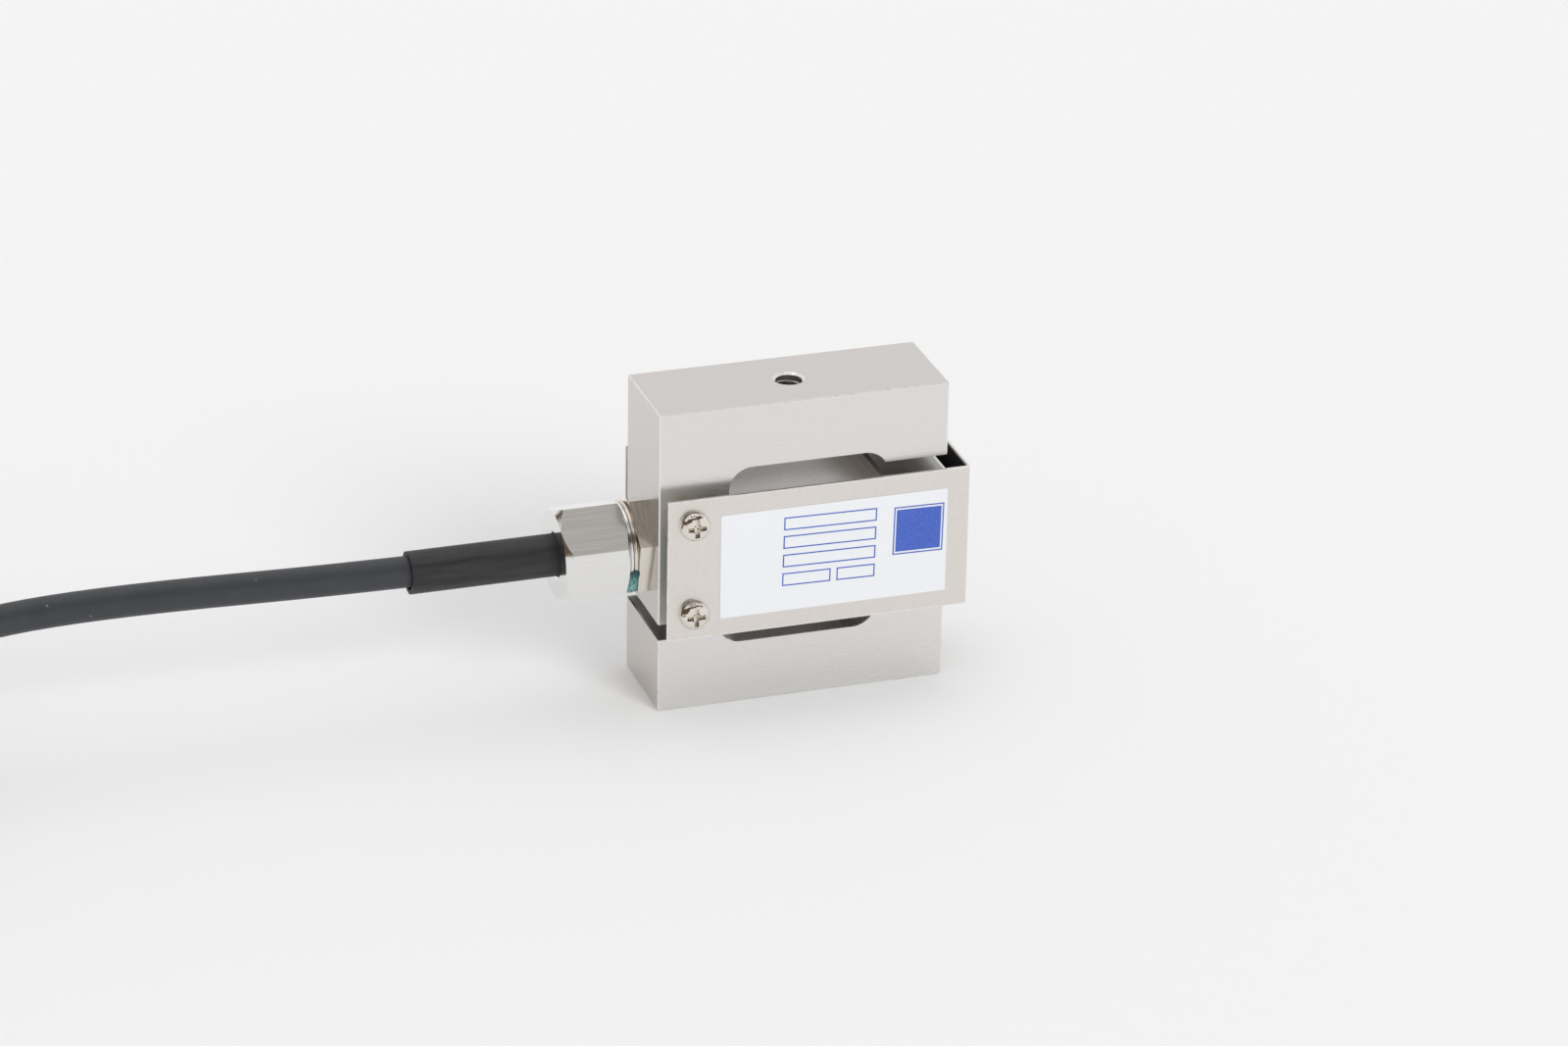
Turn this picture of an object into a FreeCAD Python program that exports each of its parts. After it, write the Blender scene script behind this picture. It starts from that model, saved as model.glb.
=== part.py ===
"""S-type load cell: a milled block with a folded cover, strain gauges and a gland with its cable.

Frame: millimetres, +Z up along the load axis, -Y the labelled front, +X away from the cable.
The origin is the mouth of the lower threaded hole, in the middle of the block's bottom face.
"""
import FreeCAD, Part
import math
import os
import re

import Sketcher

Vector = FreeCAD.Vector
doc = FreeCAD.newDocument("load_cell")

# ---------------------------------------------------------------- driving sizes, in a spreadsheet

SIZES = {
    # the block, cut through front to back to leave an S of three bars
    "block_width": 56.0,
    "block_depth": 20.0,
    "block_height": 60.0,
    "edge_break": 0.2,
    "slot_rise": 12.2,            # middle of the block to the near side of each slot
    "slot_height": 3.2,
    "window_rise": 13.2,          # middle of the block to the middle of each window
    "window_radius": 4.5,
    "window_shift": 1.8,          # how much further a window reaches towards its slot
    "flexure_radius": 6.0,        # the two bores that thin the middle bar
    "flexure_spread": 6.5,        # load axis to each of those bores
    "flexure_neck": 5.0,
    "thread_radius": 2.5,
    "thread_chamfer": 0.6,        # how much wider each mouth is than its hole
    "chamfer_depth": 0.4,
    # the cover, a strip of sheet folded round three sides
    "cover_standoff": 3.0,
    "cover_sheet": 0.5,
    "cover_height": 28.1,
    "cover_inset": 0.65,          # left face of the block to the cover's free edges
    "bend_radius": 0.5,
    "lining_sheet": 0.2,
    "lining_inset": 0.4,
    "label_width": 44.15,
    "label_height": 20.85,
    "label_sheet": 0.1,
    "label_inset": 10.8,          # left face of the block to the label
    "label_drop": 0.225,          # middle of the block down to the label's middle
    # screws and spacers that hold the cover
    "screw_inset": 5.7,
    "screw_spread": 9.0,          # middle of the block up or down to a screw
    "screw_radius": 1.5,
    "screw_bite": 4.5,            # depth of thread in the block
    "screw_head_radius": 2.9,
    "screw_head_height": 2.0,
    "screw_head_round": 1.5,
    "screw_tip": 0.4,
    "screw_clearance": 0.2,
    "cross_span": 3.6,
    "cross_width": 0.9,
    "cross_depth": 1.3,
    "cross_taper": 8.0,           # degrees that the walls of the recess lean in
    "cross_eye_radius": 0.95,
    "cross_eye_depth": 1.6,
    "spacer_play": 0.1,
    "spacer_wall": 1.15,
    # gauges and the coats over them
    "gauge_length": 7.0,
    "gauge_width": 5.0,
    "gauge_sheet": 0.1,
    "gauge_margin": 0.1,          # gauge to where the window's end begins to curve
    "coat_sheet": 0.7,
    "coat_margin": 0.5,
    # terminal board, its chips and the inner wiring
    "board_inset": 2.4,
    "board_width": 6.0,
    "board_gap": 0.5,             # spacer to the board's end
    "board_sheet": 0.8,
    "pad_sheet": 0.1,
    "pad_length": 1.6,
    "pad_width": 0.55,
    "pad_margin": 0.4,
    "chip_length": 1.6,
    "chip_width": 0.8,
    "chip_sheet": 0.45,
    "chip_inset": 0.8,
    "signal_radius": 0.35,
    "gauge_wire_radius": 0.25,
    "wiring_bore": 2.5,
    # gland
    "hex_flats": 16.8,
    "hex_turn": 8.9,              # degrees that a corner leans from straight up towards the front
    "gland_thread_radius": 6.0,
    "gland_thread_length": 9.0,
    "gland_hole_spare": 0.5,
    "flange_length": 3.2,
    "body_collar_proud": 0.3,     # how much each collar stands past the flats
    "body_collar_length": 0.9,
    "undercut_depth": 0.35,       # flats to the fine grooves beside the two collars
    "undercut_length": 0.12,
    "nut_collar_proud": 0.1,
    "nut_collar_length": 0.8,
    "nut_length": 12.3,
    "nut_end_inset": 0.1,         # flats to the rim of each end face
    "nut_back_chamfer": 0.6,
    "nut_mouth_length": 4.1,
    "mouth_play": 0.25,
    "mouth_chamfer": 0.4,
    "stub_wall": 0.9,
    "stub_gap": 1.6,              # inner shoulder of the nut to the end of the body
    "seal_wall": 1.6,
    "seal_depth": 4.0,
    "washer_sheet": 0.8,
    "washer_play": 0.2,
    # cable and the shrunk sleeve on it
    "cable_radius": 3.0,
    "cable_entry": 5.0,           # left face of the block in to the jacket's end
    "sleeve_gap": 0.25,
    "sleeve_wall": 0.75,
    "sleeve_length": 45.0,        # left face of the block out to the sleeve's end
    "sleeve_entry": 1.8,          # left face of the block out to the sleeve's inner end
    "sleeve_play": 0.15,
    # the hank of the rest of the cable, on the floor
    "hank_distance": 187.0,       # left face of the block to the middle of the near folds
    "hank_run": 78.0,
    "hank_fold": 18.0,            # radius of the inner folds
    "hank_levels": 5,
    "hank_side": 8.0,             # load axis to the lane that the cable runs in on
    "hank_bulge": 7.0,            # how much further than the inner folds the near outer ones stand
    "hank_stub_spare": 1.0,       # how far past the clear distance the run in goes
    "tail_shift": 9.0,            # inner lane to the tail that is tucked into the opening
    "tail_start": 6.0,
    "tail_run": 14.0,
    "tail_slant": 18.0,
    "tie_width": 4.0,
    "tie_sheet": 0.8,
    "tie_play": 0.15,
    "collar_wall": 0.5,
    "collar_length": 14.0,
    "core_radius": 0.65,
    "core_length": 30.0,
    "core_ring": 1.7,
    "core_fan": 3.0,
}

sheet = doc.addObject("Spreadsheet::Sheet", "Sizes")
for row, (alias, number) in enumerate(SIZES.items(), start=1):
    sheet.set(f"A{row}", alias.replace("_", " "))
    sheet.set(f"B{row}", str(number))
    sheet.setAlias(f"B{row}", alias)
doc.recompute()

# Places that several pieces share, as formulas on the sheet's names
LEFT = "(-block_width / 2)"
FRONT = "(-block_depth / 2)"
MIDDLE = "(block_height / 2)"
COVER_IN = "(block_depth / 2 + cover_standoff)"
COVER_OUT = "(block_depth / 2 + cover_standoff + cover_sheet)"
WALL_IN = "(block_width / 2 + cover_standoff)"
SCREW_X = "(-block_width / 2 + screw_inset)"
BEAM_TOP = "(window_rise - window_radius)"
WINDOW_SHORT = "(flexure_spread + gauge_length / 2 + gauge_margin)"
WINDOW_LONG = f"({WINDOW_SHORT} + window_shift)"
NUT_START = "(flange_length + body_collar_length + nut_collar_length)"
NUT_END = "(flange_length + body_collar_length + nut_collar_length + nut_length)"
NUT_SHOULDER = f"({NUT_END} - nut_mouth_length)"
STUB_END = f"({NUT_SHOULDER} - stub_gap)"
SPACER_IN = "(screw_radius + spacer_play)"
SPACER_OUT = "(screw_radius + spacer_play + spacer_wall)"
BOARD_HEIGHT = f"(2 * (screw_spread - {SPACER_OUT} - board_gap))"
HEX_CORNER = "(hex_flats / 2 / cos(30 deg))"
BODY_COLLAR = "(hex_flats / 2 + body_collar_proud)"
NUT_COLLAR = "(hex_flats / 2 + nut_collar_proud)"
UNDERCUT = "(hex_flats / 2 - undercut_depth)"
NUT_RIM = "(hex_flats / 2 - nut_end_inset)"
SLEEVE_IN = "(cable_radius + sleeve_gap)"
SLEEVE_OUT = f"({SLEEVE_IN} + sleeve_wall)"
NUT_MOUTH = f"({SLEEVE_OUT} + mouth_play)"
SEAL_OUT = f"({SLEEVE_OUT} + seal_wall)"
STUB_OUT = f"({SEAL_OUT} + stub_wall)"
PADS = 12


def formula(text):
    """Turn bare size names into references to the sheet."""
    return re.sub(r"[a-z][a-z_]*", lambda m: f"Sizes.{m[0]}" if m[0] in SIZES else m[0], text)


def value(text):
    """Work out a formula as a plain number."""
    result = sheet.evalExpression(formula(text))
    return float(getattr(result, "Value", result))


def bind(thing, **properties):
    """Bind properties to formulas; a double underscore stands for a dot."""
    for name, text in properties.items():
        thing.setExpression(name.replace("__", "."), formula(text))


# ---------------------------------------------------------------- helpers for sketched bodies

def new_body(label):
    body = doc.addObject("PartDesign::Body", label)
    body.Label = label
    return body


def new_sketch(body, plane, along="0", up="0", out="0"):
    """A sketch on one of the body's origin planes, shifted by formulas in its own directions."""
    sketch = body.newObject("Sketcher::SketchObject", "Sketch")
    origin_plane = [f for f in body.Origin.OriginFeatures if f.Role == plane][0]
    sketch.AttachmentSupport = [(origin_plane, "")]
    sketch.MapMode = "FlatFace"
    bind(sketch, AttachmentOffset__Base__x=along, AttachmentOffset__Base__y=up,
         AttachmentOffset__Base__z=out)
    return sketch


def pin(sketch, geometry, point, corner):
    """Hold a point of the sketch at two formulas."""
    for kind, text in zip(("DistanceX", "DistanceY"), corner):
        number = value(text)
        index = sketch.addConstraint(
            Sketcher.Constraint(kind, -1, 1, geometry, point, number))
        sketch.setExpression(f"Constraints[{index}]", formula(text))


def polygon(sketch, corners):
    """A closed loop of lines whose corners are pairs of formulas."""
    first = sketch.GeometryCount
    count = len(corners)
    places = [Vector(value(a), value(b), 0) for a, b in corners]
    for index in range(count):
        sketch.addGeometry(Part.LineSegment(places[index], places[(index + 1) % count]), False)
    for index in range(count):
        after = first + (index + 1) % count
        sketch.addConstraint(Sketcher.Constraint("Coincident", first + index, 2, after, 1))
    for index, corner in enumerate(corners):
        pin(sketch, first + index, 1, corner)


def rectangle(sketch, left, bottom, right, top):
    polygon(sketch, [(left, bottom), (right, bottom), (right, top), (left, top)])


def circle(sketch, centre, radius):
    place = Vector(value(centre[0]), value(centre[1]), 0)
    index = sketch.addGeometry(Part.Circle(place, Vector(0, 0, 1), value(radius)), False)
    pin(sketch, index, 3, centre)
    size = sketch.addConstraint(Sketcher.Constraint("Radius", index, value(radius)))
    sketch.setExpression(f"Constraints[{size}]", formula(radius))


def stadium(sketch, left, right, level, radius):
    """A slot shape: two half circles joined by two lines."""
    x0, x1, y, r = value(left), value(right), value(level), value(radius)
    axis = Vector(0, 0, 1)
    quarter = math.pi / 2
    low = sketch.addGeometry(Part.LineSegment(Vector(x0, y - r, 0), Vector(x1, y - r, 0)), False)
    far = sketch.addGeometry(
        Part.ArcOfCircle(Part.Circle(Vector(x1, y, 0), axis, r), -quarter, quarter), False)
    high = sketch.addGeometry(Part.LineSegment(Vector(x1, y + r, 0), Vector(x0, y + r, 0)), False)
    near = sketch.addGeometry(
        Part.ArcOfCircle(Part.Circle(Vector(x0, y, 0), axis, r), quarter, 3 * quarter), False)
    for one, other in ((low, far), (far, high), (high, near), (near, low)):
        sketch.addConstraint(Sketcher.Constraint("Tangent", one, 2, other, 1))
    pin(sketch, near, 3, (left, level))
    # the other centre needs only its distance: the two tangent lines keep it level
    index = sketch.addConstraint(Sketcher.Constraint("DistanceX", -1, 1, far, 3, x1))
    sketch.setExpression(f"Constraints[{index}]", formula(right))
    sketch.addConstraint(Sketcher.Constraint("Horizontal", low))
    size = sketch.addConstraint(Sketcher.Constraint("Radius", near, r))
    sketch.setExpression(f"Constraints[{size}]", formula(radius))


def pad(body, sketch, length, symmetric=False):
    feature = body.newObject("PartDesign::Pad", "Pad")
    feature.Profile = sketch
    feature.SideType = "Symmetric" if symmetric else "One side"
    bind(feature, Length=length)
    return feature


def pocket(body, sketch, length, symmetric=False, reverse=False):
    """A pocket that is checked to have cut something."""
    doc.recompute()
    before = body.Shape.Volume
    feature = body.newObject("PartDesign::Pocket", "Pocket")
    feature.Profile = sketch
    feature.SideType = "Symmetric" if symmetric else "One side"
    feature.Reversed = reverse
    bind(feature, Length=length)
    doc.recompute()
    if body.Shape.Volume > before - 1e-6:
        raise RuntimeError(f"a pocket in {body.Label} cuts nothing")
    return feature


def turn(body, sketch, kind):
    """Turn a profile about one of the sketch's own axes, checked to add or to cut something."""
    doc.recompute()
    before = 0.0 if body.Tip is None else body.Shape.Volume
    feature = body.newObject(f"PartDesign::{kind[0]}", kind[0])
    feature.Profile = sketch
    feature.ReferenceAxis = (sketch, [kind[1]])
    feature.Angle = 360
    doc.recompute()
    change = body.Shape.Volume - before
    if (change if kind[0] == "Revolution" else -change) < 1e-6:
        raise RuntimeError(f"a turned shape in {body.Label} changes nothing")
    return feature


def edges_where(shape, test):
    return [f"Edge{n}" for n, edge in enumerate(shape.Edges, start=1) if test(edge)]


def is_upright(x, y):
    """A test for the edges along Z at a place given by formulas, on either side of the XZ plane."""
    at_x, at_y = value(x), value(y)

    def test(edge):
        ends = [vertex.Point for vertex in edge.Vertexes]
        return (abs(ends[0].z - ends[-1].z) > 1e-3
                and all(abs(end.x - at_x) + abs(abs(end.y) - at_y) < 1e-6 for end in ends))

    return test


def is_ring(radius, front=None):
    """A test for round edges of one radius, if asked at one distance out along -Y."""
    size = value(radius)
    level = None if front is None else -value(front)
    return lambda edge: (edge.Curve.TypeId == "Part::GeomCircle"
                         and abs(edge.Curve.Radius - size) < 1e-6
                         and (level is None or abs(edge.Curve.Center.y - level) < 1e-6))


def round_edges(body, test, radius):
    doc.recompute()
    feature = body.newObject("PartDesign::Fillet", "Fillet")
    base = body.Group[-2]
    feature.Base = (base, edges_where(base.Shape, test))
    bind(feature, Radius=radius)
    doc.recompute()
    return feature


def box(name, x, y, z, length, width, height):
    """A Part box whose corner and sizes are formulas."""
    solid = doc.addObject("Part::Box", name)
    bind(solid, Placement__Base__x=x, Placement__Base__y=y, Placement__Base__z=z,
         Length=length, Width=width, Height=height)
    return solid


def cut(label, base, tool):
    result = doc.addObject("Part::Cut", label)
    result.Base = base
    result.Tool = tool
    result.Label = label
    return result


def group(label, shapes):
    """Several loose solids kept together as one piece of the document."""
    feature = doc.addObject("Part::Feature", label)
    feature.Shape = Part.makeCompound(shapes)
    feature.Label = label
    return feature


# ---------------------------------------------------------------- the block

def make_block():
    body = new_body("s_body")
    blank = new_sketch(body, "XZ_Plane")
    rectangle(blank, LEFT, "0", "block_width / 2", "block_height")
    blank_pad = pad(body, blank, "block_depth", symmetric=True)
    doc.recompute()
    bevel = body.newObject("PartDesign::Chamfer", "EdgeBreak")
    bevel.Base = (blank_pad, edges_where(blank_pad.Shape, lambda edge: True))
    bind(bevel, Size="edge_break")

    # one window per side of the middle bar, each a half turn from the other
    windows = new_sketch(body, "XZ_Plane", up=MIDDLE)
    stadium(windows, f"-{WINDOW_SHORT}", WINDOW_LONG, "window_rise", "window_radius")
    stadium(windows, f"-{WINDOW_LONG}", WINDOW_SHORT, "-window_rise", "window_radius")
    pocket(body, windows, "block_depth + 2", symmetric=True)

    slots = new_sketch(body, "XZ_Plane", up=MIDDLE)
    rectangle(slots, "window_rise", "slot_rise", "block_width / 2 + 1", "slot_rise + slot_height")
    rectangle(slots, "-block_width / 2 - 1", "-slot_rise - slot_height", "-window_rise", "-slot_rise")
    pocket(body, slots, "block_depth + 2", symmetric=True)

    # the middle bar is thinned to two pairs of beams by a dumb-bell opening
    bores = new_sketch(body, "XZ_Plane", up=MIDDLE)
    circle(bores, ("-flexure_spread", "0"), "flexure_radius")
    circle(bores, ("flexure_spread", "0"), "flexure_radius")
    pocket(body, bores, "block_depth + 2", symmetric=True)
    neck = new_sketch(body, "XZ_Plane", up=MIDDLE)
    rectangle(neck, "-flexure_spread", "-flexure_neck / 2", "flexure_spread", "flexure_neck / 2")
    pocket(body, neck, "block_depth + 2", symmetric=True)

    # threaded holes on the load axis, from each end into the window behind it
    mounts = new_sketch(body, "XZ_Plane")
    reach = f"({MIDDLE} - window_rise)"
    mouth = "thread_radius + thread_chamfer"
    polygon(mounts, [("0", "0"), (mouth, "0"), ("thread_radius", "chamfer_depth"),
                     ("thread_radius", reach), ("0", reach)])
    turn(body, mounts, ("Groove", "V_Axis"))
    mounts = new_sketch(body, "XZ_Plane")
    polygon(mounts, [("0", f"block_height - {reach}"), ("thread_radius", f"block_height - {reach}"),
                     ("thread_radius", "block_height - chamfer_depth"),
                     (mouth, "block_height"), ("0", "block_height")])
    turn(body, mounts, ("Groove", "V_Axis"))

    # gland hole in the left face, with a bore for the wires into the opening behind it
    gland = new_sketch(body, "XZ_Plane", along=LEFT, up=MIDDLE)
    hole_end = "(gland_thread_length + gland_hole_spare)"
    inner = f"(-{LEFT} - flexure_spread)"
    polygon(gland, [("0", "0"), ("0", "gland_thread_radius"),
                    (hole_end, "gland_thread_radius"), (hole_end, "wiring_bore"),
                    (inner, "wiring_bore"), (inner, "0")])
    turn(body, gland, ("Groove", "H_Axis"))

    # screw holes, drilled from the front and mirrored to the back
    screws = new_sketch(body, "XZ_Plane", up=MIDDLE, out="block_depth / 2")
    for side in ("screw_spread", "-screw_spread"):
        circle(screws, (SCREW_X, side), "screw_radius")
    front_holes = pocket(body, screws, "screw_bite + screw_clearance")
    both = body.newObject("PartDesign::Mirrored", "Mirrored")
    both.Originals = [front_holes]
    both.MirrorPlane = ([f for f in body.Origin.OriginFeatures if f.Role == "XZ_Plane"][0], [""])
    body.Tip = both
    return body


# ---------------------------------------------------------------- cover, lining, label

def make_channel(label, inset, inner, sheet_size, height, inner_bend, hole_radius):
    """A strip folded round the front, the right side and the back of the block."""
    body = new_body(label)
    outer_y = f"({COVER_IN} + {inner} + {sheet_size})"
    inner_y = f"({COVER_IN} + {inner})"
    wall = f"({WALL_IN} + {inner})"
    start = f"({LEFT} + {inset})"
    low = f"({MIDDLE} - {height} / 2)"
    blank = new_sketch(body, "XY_Plane", out=low)
    rectangle(blank, start, f"-{outer_y}", f"{wall} + {sheet_size}", outer_y)
    pad(body, blank, height)
    hollow = new_sketch(body, "XY_Plane", out=low)
    rectangle(hollow, f"{start} - 1", f"-{inner_y}", wall, inner_y)
    pocket(body, hollow, height, reverse=True)
    round_edges(body, is_upright(f"{wall} + {sheet_size}", outer_y), f"{inner_bend} + {sheet_size}")
    round_edges(body, is_upright(wall, inner_y), inner_bend)
    holes = new_sketch(body, "XZ_Plane", up=MIDDLE)
    for side in ("screw_spread", "-screw_spread"):
        circle(holes, (SCREW_X, side), hole_radius)
    pocket(body, holes, f"2 * {outer_y} + 2", symmetric=True)
    return body


def make_cover():
    return make_channel("cover", "cover_inset", "0", "cover_sheet", "cover_height",
                        "bend_radius", "screw_radius + screw_clearance")


def make_lining():
    """Film inside the cover's right wall and back; the inside of its front sheet is bare."""
    height = "(cover_height - 2 * lining_inset)"
    body = make_channel("cover_lining", "(cover_inset + lining_inset)", "(-lining_sheet)",
                        "lining_sheet", height, "(bend_radius - lining_sheet)",
                        f"{SPACER_OUT} + screw_clearance")
    bare = new_sketch(body, "XY_Plane", out=f"({MIDDLE} - {height} / 2)")
    rectangle(bare, f"{LEFT} - 1", f"-{COVER_IN} - 1", f"{WALL_IN} + 1", f"bend_radius - {COVER_IN}")
    pocket(body, bare, height, reverse=True)
    return body


def make_label():
    label = box("label", f"{LEFT} + label_inset", f"-{COVER_OUT} - label_sheet",
                f"{MIDDLE} - label_drop - label_height / 2",
                "label_width", "label_sheet", "label_height")
    label.Label = "label"
    return label


# ---------------------------------------------------------------- screws and spacers

def at_screws(shape):
    """Copies of a piece drawn along -Y from the front face, at the two front and two back screws."""
    copies = []
    for side in (1, -1):
        for rise in (1, -1):
            copy = shape.copy()
            if side < 0:
                copy.rotate(Vector(0, 0, 0), Vector(0, 0, 1), 180)
            height = value(f"{MIDDLE} + {rise} * screw_spread")
            copy.translate(Vector(value(SCREW_X), side * value(FRONT), height))
            copies.append(copy)
    return copies


def make_screw():
    """A pan-head screw along -Y with a cross recess, its under-head plane on the cover."""
    body = new_body("screw")
    seat = "(cover_standoff + cover_sheet)"
    top = f"({seat} + screw_head_height)"
    profile = new_sketch(body, "YZ_Plane")
    polygon(profile, [("screw_bite", "0"), ("screw_bite", "screw_radius - screw_tip"),
                      ("screw_bite - screw_tip", "screw_radius"), (f"-{seat}", "screw_radius"),
                      (f"-{seat}", "screw_head_radius"), (f"-{top}", "screw_head_radius"),
                      (f"-{top}", "0")])
    turn(body, profile, ("Revolution", "H_Axis"))
    round_edges(body, is_ring("screw_head_radius", top), "screw_head_round")
    for along, across in (("cross_span", "cross_width"), ("cross_width", "cross_span")):
        recess = new_sketch(body, "XZ_Plane", out=top)
        rectangle(recess, f"-{along} / 2", f"-{across} / 2", f"{along} / 2", f"{across} / 2")
        wings = pocket(body, recess, "cross_depth")
        bind(wings, TaperAngle="-cross_taper")
    eye = new_sketch(body, "YZ_Plane")
    polygon(eye, [(f"-{top}", "0"), (f"-{top}", "cross_eye_radius"),
                  (f"-{top} + cross_eye_depth", "0")])
    turn(body, eye, ("Groove", "H_Axis"))
    return body


def make_screws():
    screw = make_screw()
    return group("cover_screws", at_screws(screw.Shape))


def make_spacers():
    outside = Part.makeCylinder(value(SPACER_OUT), value("cover_standoff"),
                                Vector(0, 0, 0), Vector(0, -1, 0))
    inside = Part.makeCylinder(value(SPACER_IN), value("cover_standoff"),
                               Vector(0, 0, 0), Vector(0, -1, 0))
    return group("screw_spacers", at_screws(outside.cut(inside)))


# ---------------------------------------------------------------- gauges and coats

COAT_CLIMB = ((60, 0.89), (40, 0.935), (22, 1.02))


def coat_profile(side):
    """The poured coat from the side: level over the beam, then up the round wall of the long end.

    Each climbing corner is an angle below the level of the window's middle and a share of its radius.
    """
    deep = f"{side} * {BEAM_TOP}"
    surface = f"{side} * ({BEAM_TOP} + coat_sheet)"
    corners = [(f"{-side} * block_width / 2", deep), (f"{-side} * block_width / 2", surface),
               (f"{side} * ({WINDOW_LONG} + 0.1 * window_radius)", surface)]
    for angle, share in COAT_CLIMB:
        corners.append((f"{side} * ({WINDOW_LONG} + {share} * window_radius * cos({angle} deg))",
                        f"{side} * (window_rise - {share} * window_radius * sin({angle} deg))"))
    return corners + [(f"{side} * block_width / 2", corners[-1][1]), (f"{side} * block_width / 2", deep)]


def make_gauges_and_coats():
    """Two gauges over each beam's thin places, under one poured coat per beam."""
    pieces = []
    for level, side, reach_left, reach_right in (("upper", 1, WINDOW_SHORT, WINDOW_LONG),
                                                 ("lower", -1, WINDOW_LONG, WINDOW_SHORT)):
        surface = f"({MIDDLE} + {side} * {BEAM_TOP})"
        gauges = []
        for name, way in (("left", -1), ("right", 1)):
            gauge = box(f"gauge_{level}_{name}", f"{way} * flexure_spread - gauge_length / 2",
                        "-gauge_width / 2", surface if side > 0 else f"({surface} - gauge_sheet)",
                        "gauge_length", "gauge_width", "gauge_sheet")
            gauge.Label = f"gauge_{level}_{name}"
            gauges.append(gauge)
        # the coat fills the window's rounded shape up to its own surface
        fill = new_body(f"{level}_window_fill")
        outline = new_sketch(fill, "XZ_Plane", up=MIDDLE)
        stadium(outline, f"-{reach_left}", reach_right, f"{side} * window_rise", "window_radius")
        pad(fill, outline, "block_depth - 2 * coat_margin", symmetric=True)
        layer = new_body(f"{level}_coat_layer")
        profile = new_sketch(layer, "XZ_Plane", up=MIDDLE)
        polygon(profile, coat_profile(side))
        pad(layer, profile, "block_depth", symmetric=True)
        poured = doc.addObject("Part::Common", f"{level}_poured")
        poured.Base, poured.Tool = fill, layer
        covered = doc.addObject("Part::Fuse", f"{level}_gauge_pair")
        covered.Base, covered.Tool = [doc.addObject("Part::Box", f"{level}_print_{n}") for n in (1, 2)]
        for print_box, gauge in zip((covered.Base, covered.Tool), gauges):
            for name in ("Length", "Width", "Height", "Placement"):
                print_box.setExpression(name, f"{gauge.Name}.{name}")
        pieces += gauges
        pieces.append(cut(f"{level}_coating", poured, covered))
    return pieces


# ---------------------------------------------------------------- terminal board and wiring

def pad_level(step):
    """Height of a solder pad: steps run from -5.5 to 5.5 about the middle."""
    return f"({MIDDLE} + {step} * ({BOARD_HEIGHT} - 1) / {PADS})"


def make_board():
    """The board on the block's front face, with its column of solder pads."""
    board = box("board_blank", f"{LEFT} + board_inset", f"{FRONT} - board_sheet",
                f"{MIDDLE} - {BOARD_HEIGHT} / 2", "board_width", "board_sheet", BOARD_HEIGHT)
    pads = []
    for index in range(PADS):
        level = pad_level(index - (PADS - 1) / 2)
        pads.append(box(f"pad_{index + 1}", f"{LEFT} + board_inset + board_width - pad_length - pad_margin",
                        f"{FRONT} - board_sheet - pad_sheet", f"{level} - pad_width / 2",
                        "pad_length", "pad_sheet", "pad_width"))
    board_with_pads = doc.addObject("Part::MultiFuse", "terminal_board")
    board_with_pads.Shapes = [board] + pads
    board_with_pads.Label = "terminal_board"
    return board_with_pads


def make_chips():
    """Two trimming resistors on the board."""
    chips = []
    for side in (-1, 1):
        corner = Vector(value(f"{LEFT} + board_inset + chip_inset"),
                        value(f"{FRONT} - board_sheet - chip_sheet"),
                        value(f"{MIDDLE} + {side} * {BOARD_HEIGHT} / 4 - chip_width / 2"))
        chips.append(Part.makeBox(value("chip_length"), value("chip_sheet"), value("chip_width"), corner))
    return group("trim_resistors", chips)


BEND_SHARE = 0.45


def bent_wire(points):
    """Straight runs joined by tangent arcs, each as large as its shorter run allows."""
    edges, radii = [], []
    start = points[0]
    for before, corner, after in zip(points, points[1:], points[2:]):
        come, go = (corner - before), (after - corner)
        half_turn = come.getAngle(go) / 2
        reach = BEND_SHARE * min(come.Length, go.Length)
        radii.append(reach / math.tan(half_turn))
        come.normalize()
        go.normalize()
        first, last = corner - come * reach, corner + go * reach
        inward = go - come
        inward.normalize()
        sagitta = reach / math.tan(half_turn) * (1 / math.cos(half_turn) - 1)
        edges.append(Part.LineSegment(start, first).toShape())
        edges.append(Part.Arc(first, corner + inward * sagitta, last).toShape())
        start = last
    edges.append(Part.LineSegment(start, points[-1]).toShape())
    return Part.Wire(edges), radii


def tube(points, radius):
    """A round solid along the bent wire, checked against section times length."""
    path, radii = bent_wire(points)
    ring = Part.Wire(Part.Circle(points[0], points[1] - points[0], radius).toShape())
    solid = path.makePipeShell([ring], True, False)
    expected = math.pi * radius ** 2 * path.Length
    if abs(solid.Volume - expected) > 0.01 * expected:
        raise RuntimeError(f"tube volume {solid.Volume:.2f}, expected {expected:.2f}")
    return solid, path.Length, radii


def make_signal_leads():
    """Four cores from the jacket's end, through the opening, to the middle pads of the board."""
    radius = value("signal_radius")
    start_x = value(f"{LEFT} + cable_entry")
    pad_x = value(f"{LEFT} + board_inset + board_width - pad_length")
    out_y = value(f"{FRONT} - board_sheet - pad_sheet - signal_radius")
    middle = value(MIDDLE)
    spread = value("wiring_bore") / 4
    leads = []
    for up in (1, -1):
        for back, step, turn_back in ((1, 1.5, 1.5), (-1, 0.5, 2.7)):
            corner_x = value(f"-flexure_spread - {turn_back}")
            level = value(pad_level(up * step))
            points = [Vector(start_x, back * spread, middle + up * spread),
                      Vector(corner_x, back * spread, middle + up * spread),
                      Vector(corner_x, out_y, level),
                      Vector(pad_x, out_y, level)]
            leads.append(tube(points, radius)[0])
    return group("signal_leads", leads)


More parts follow.
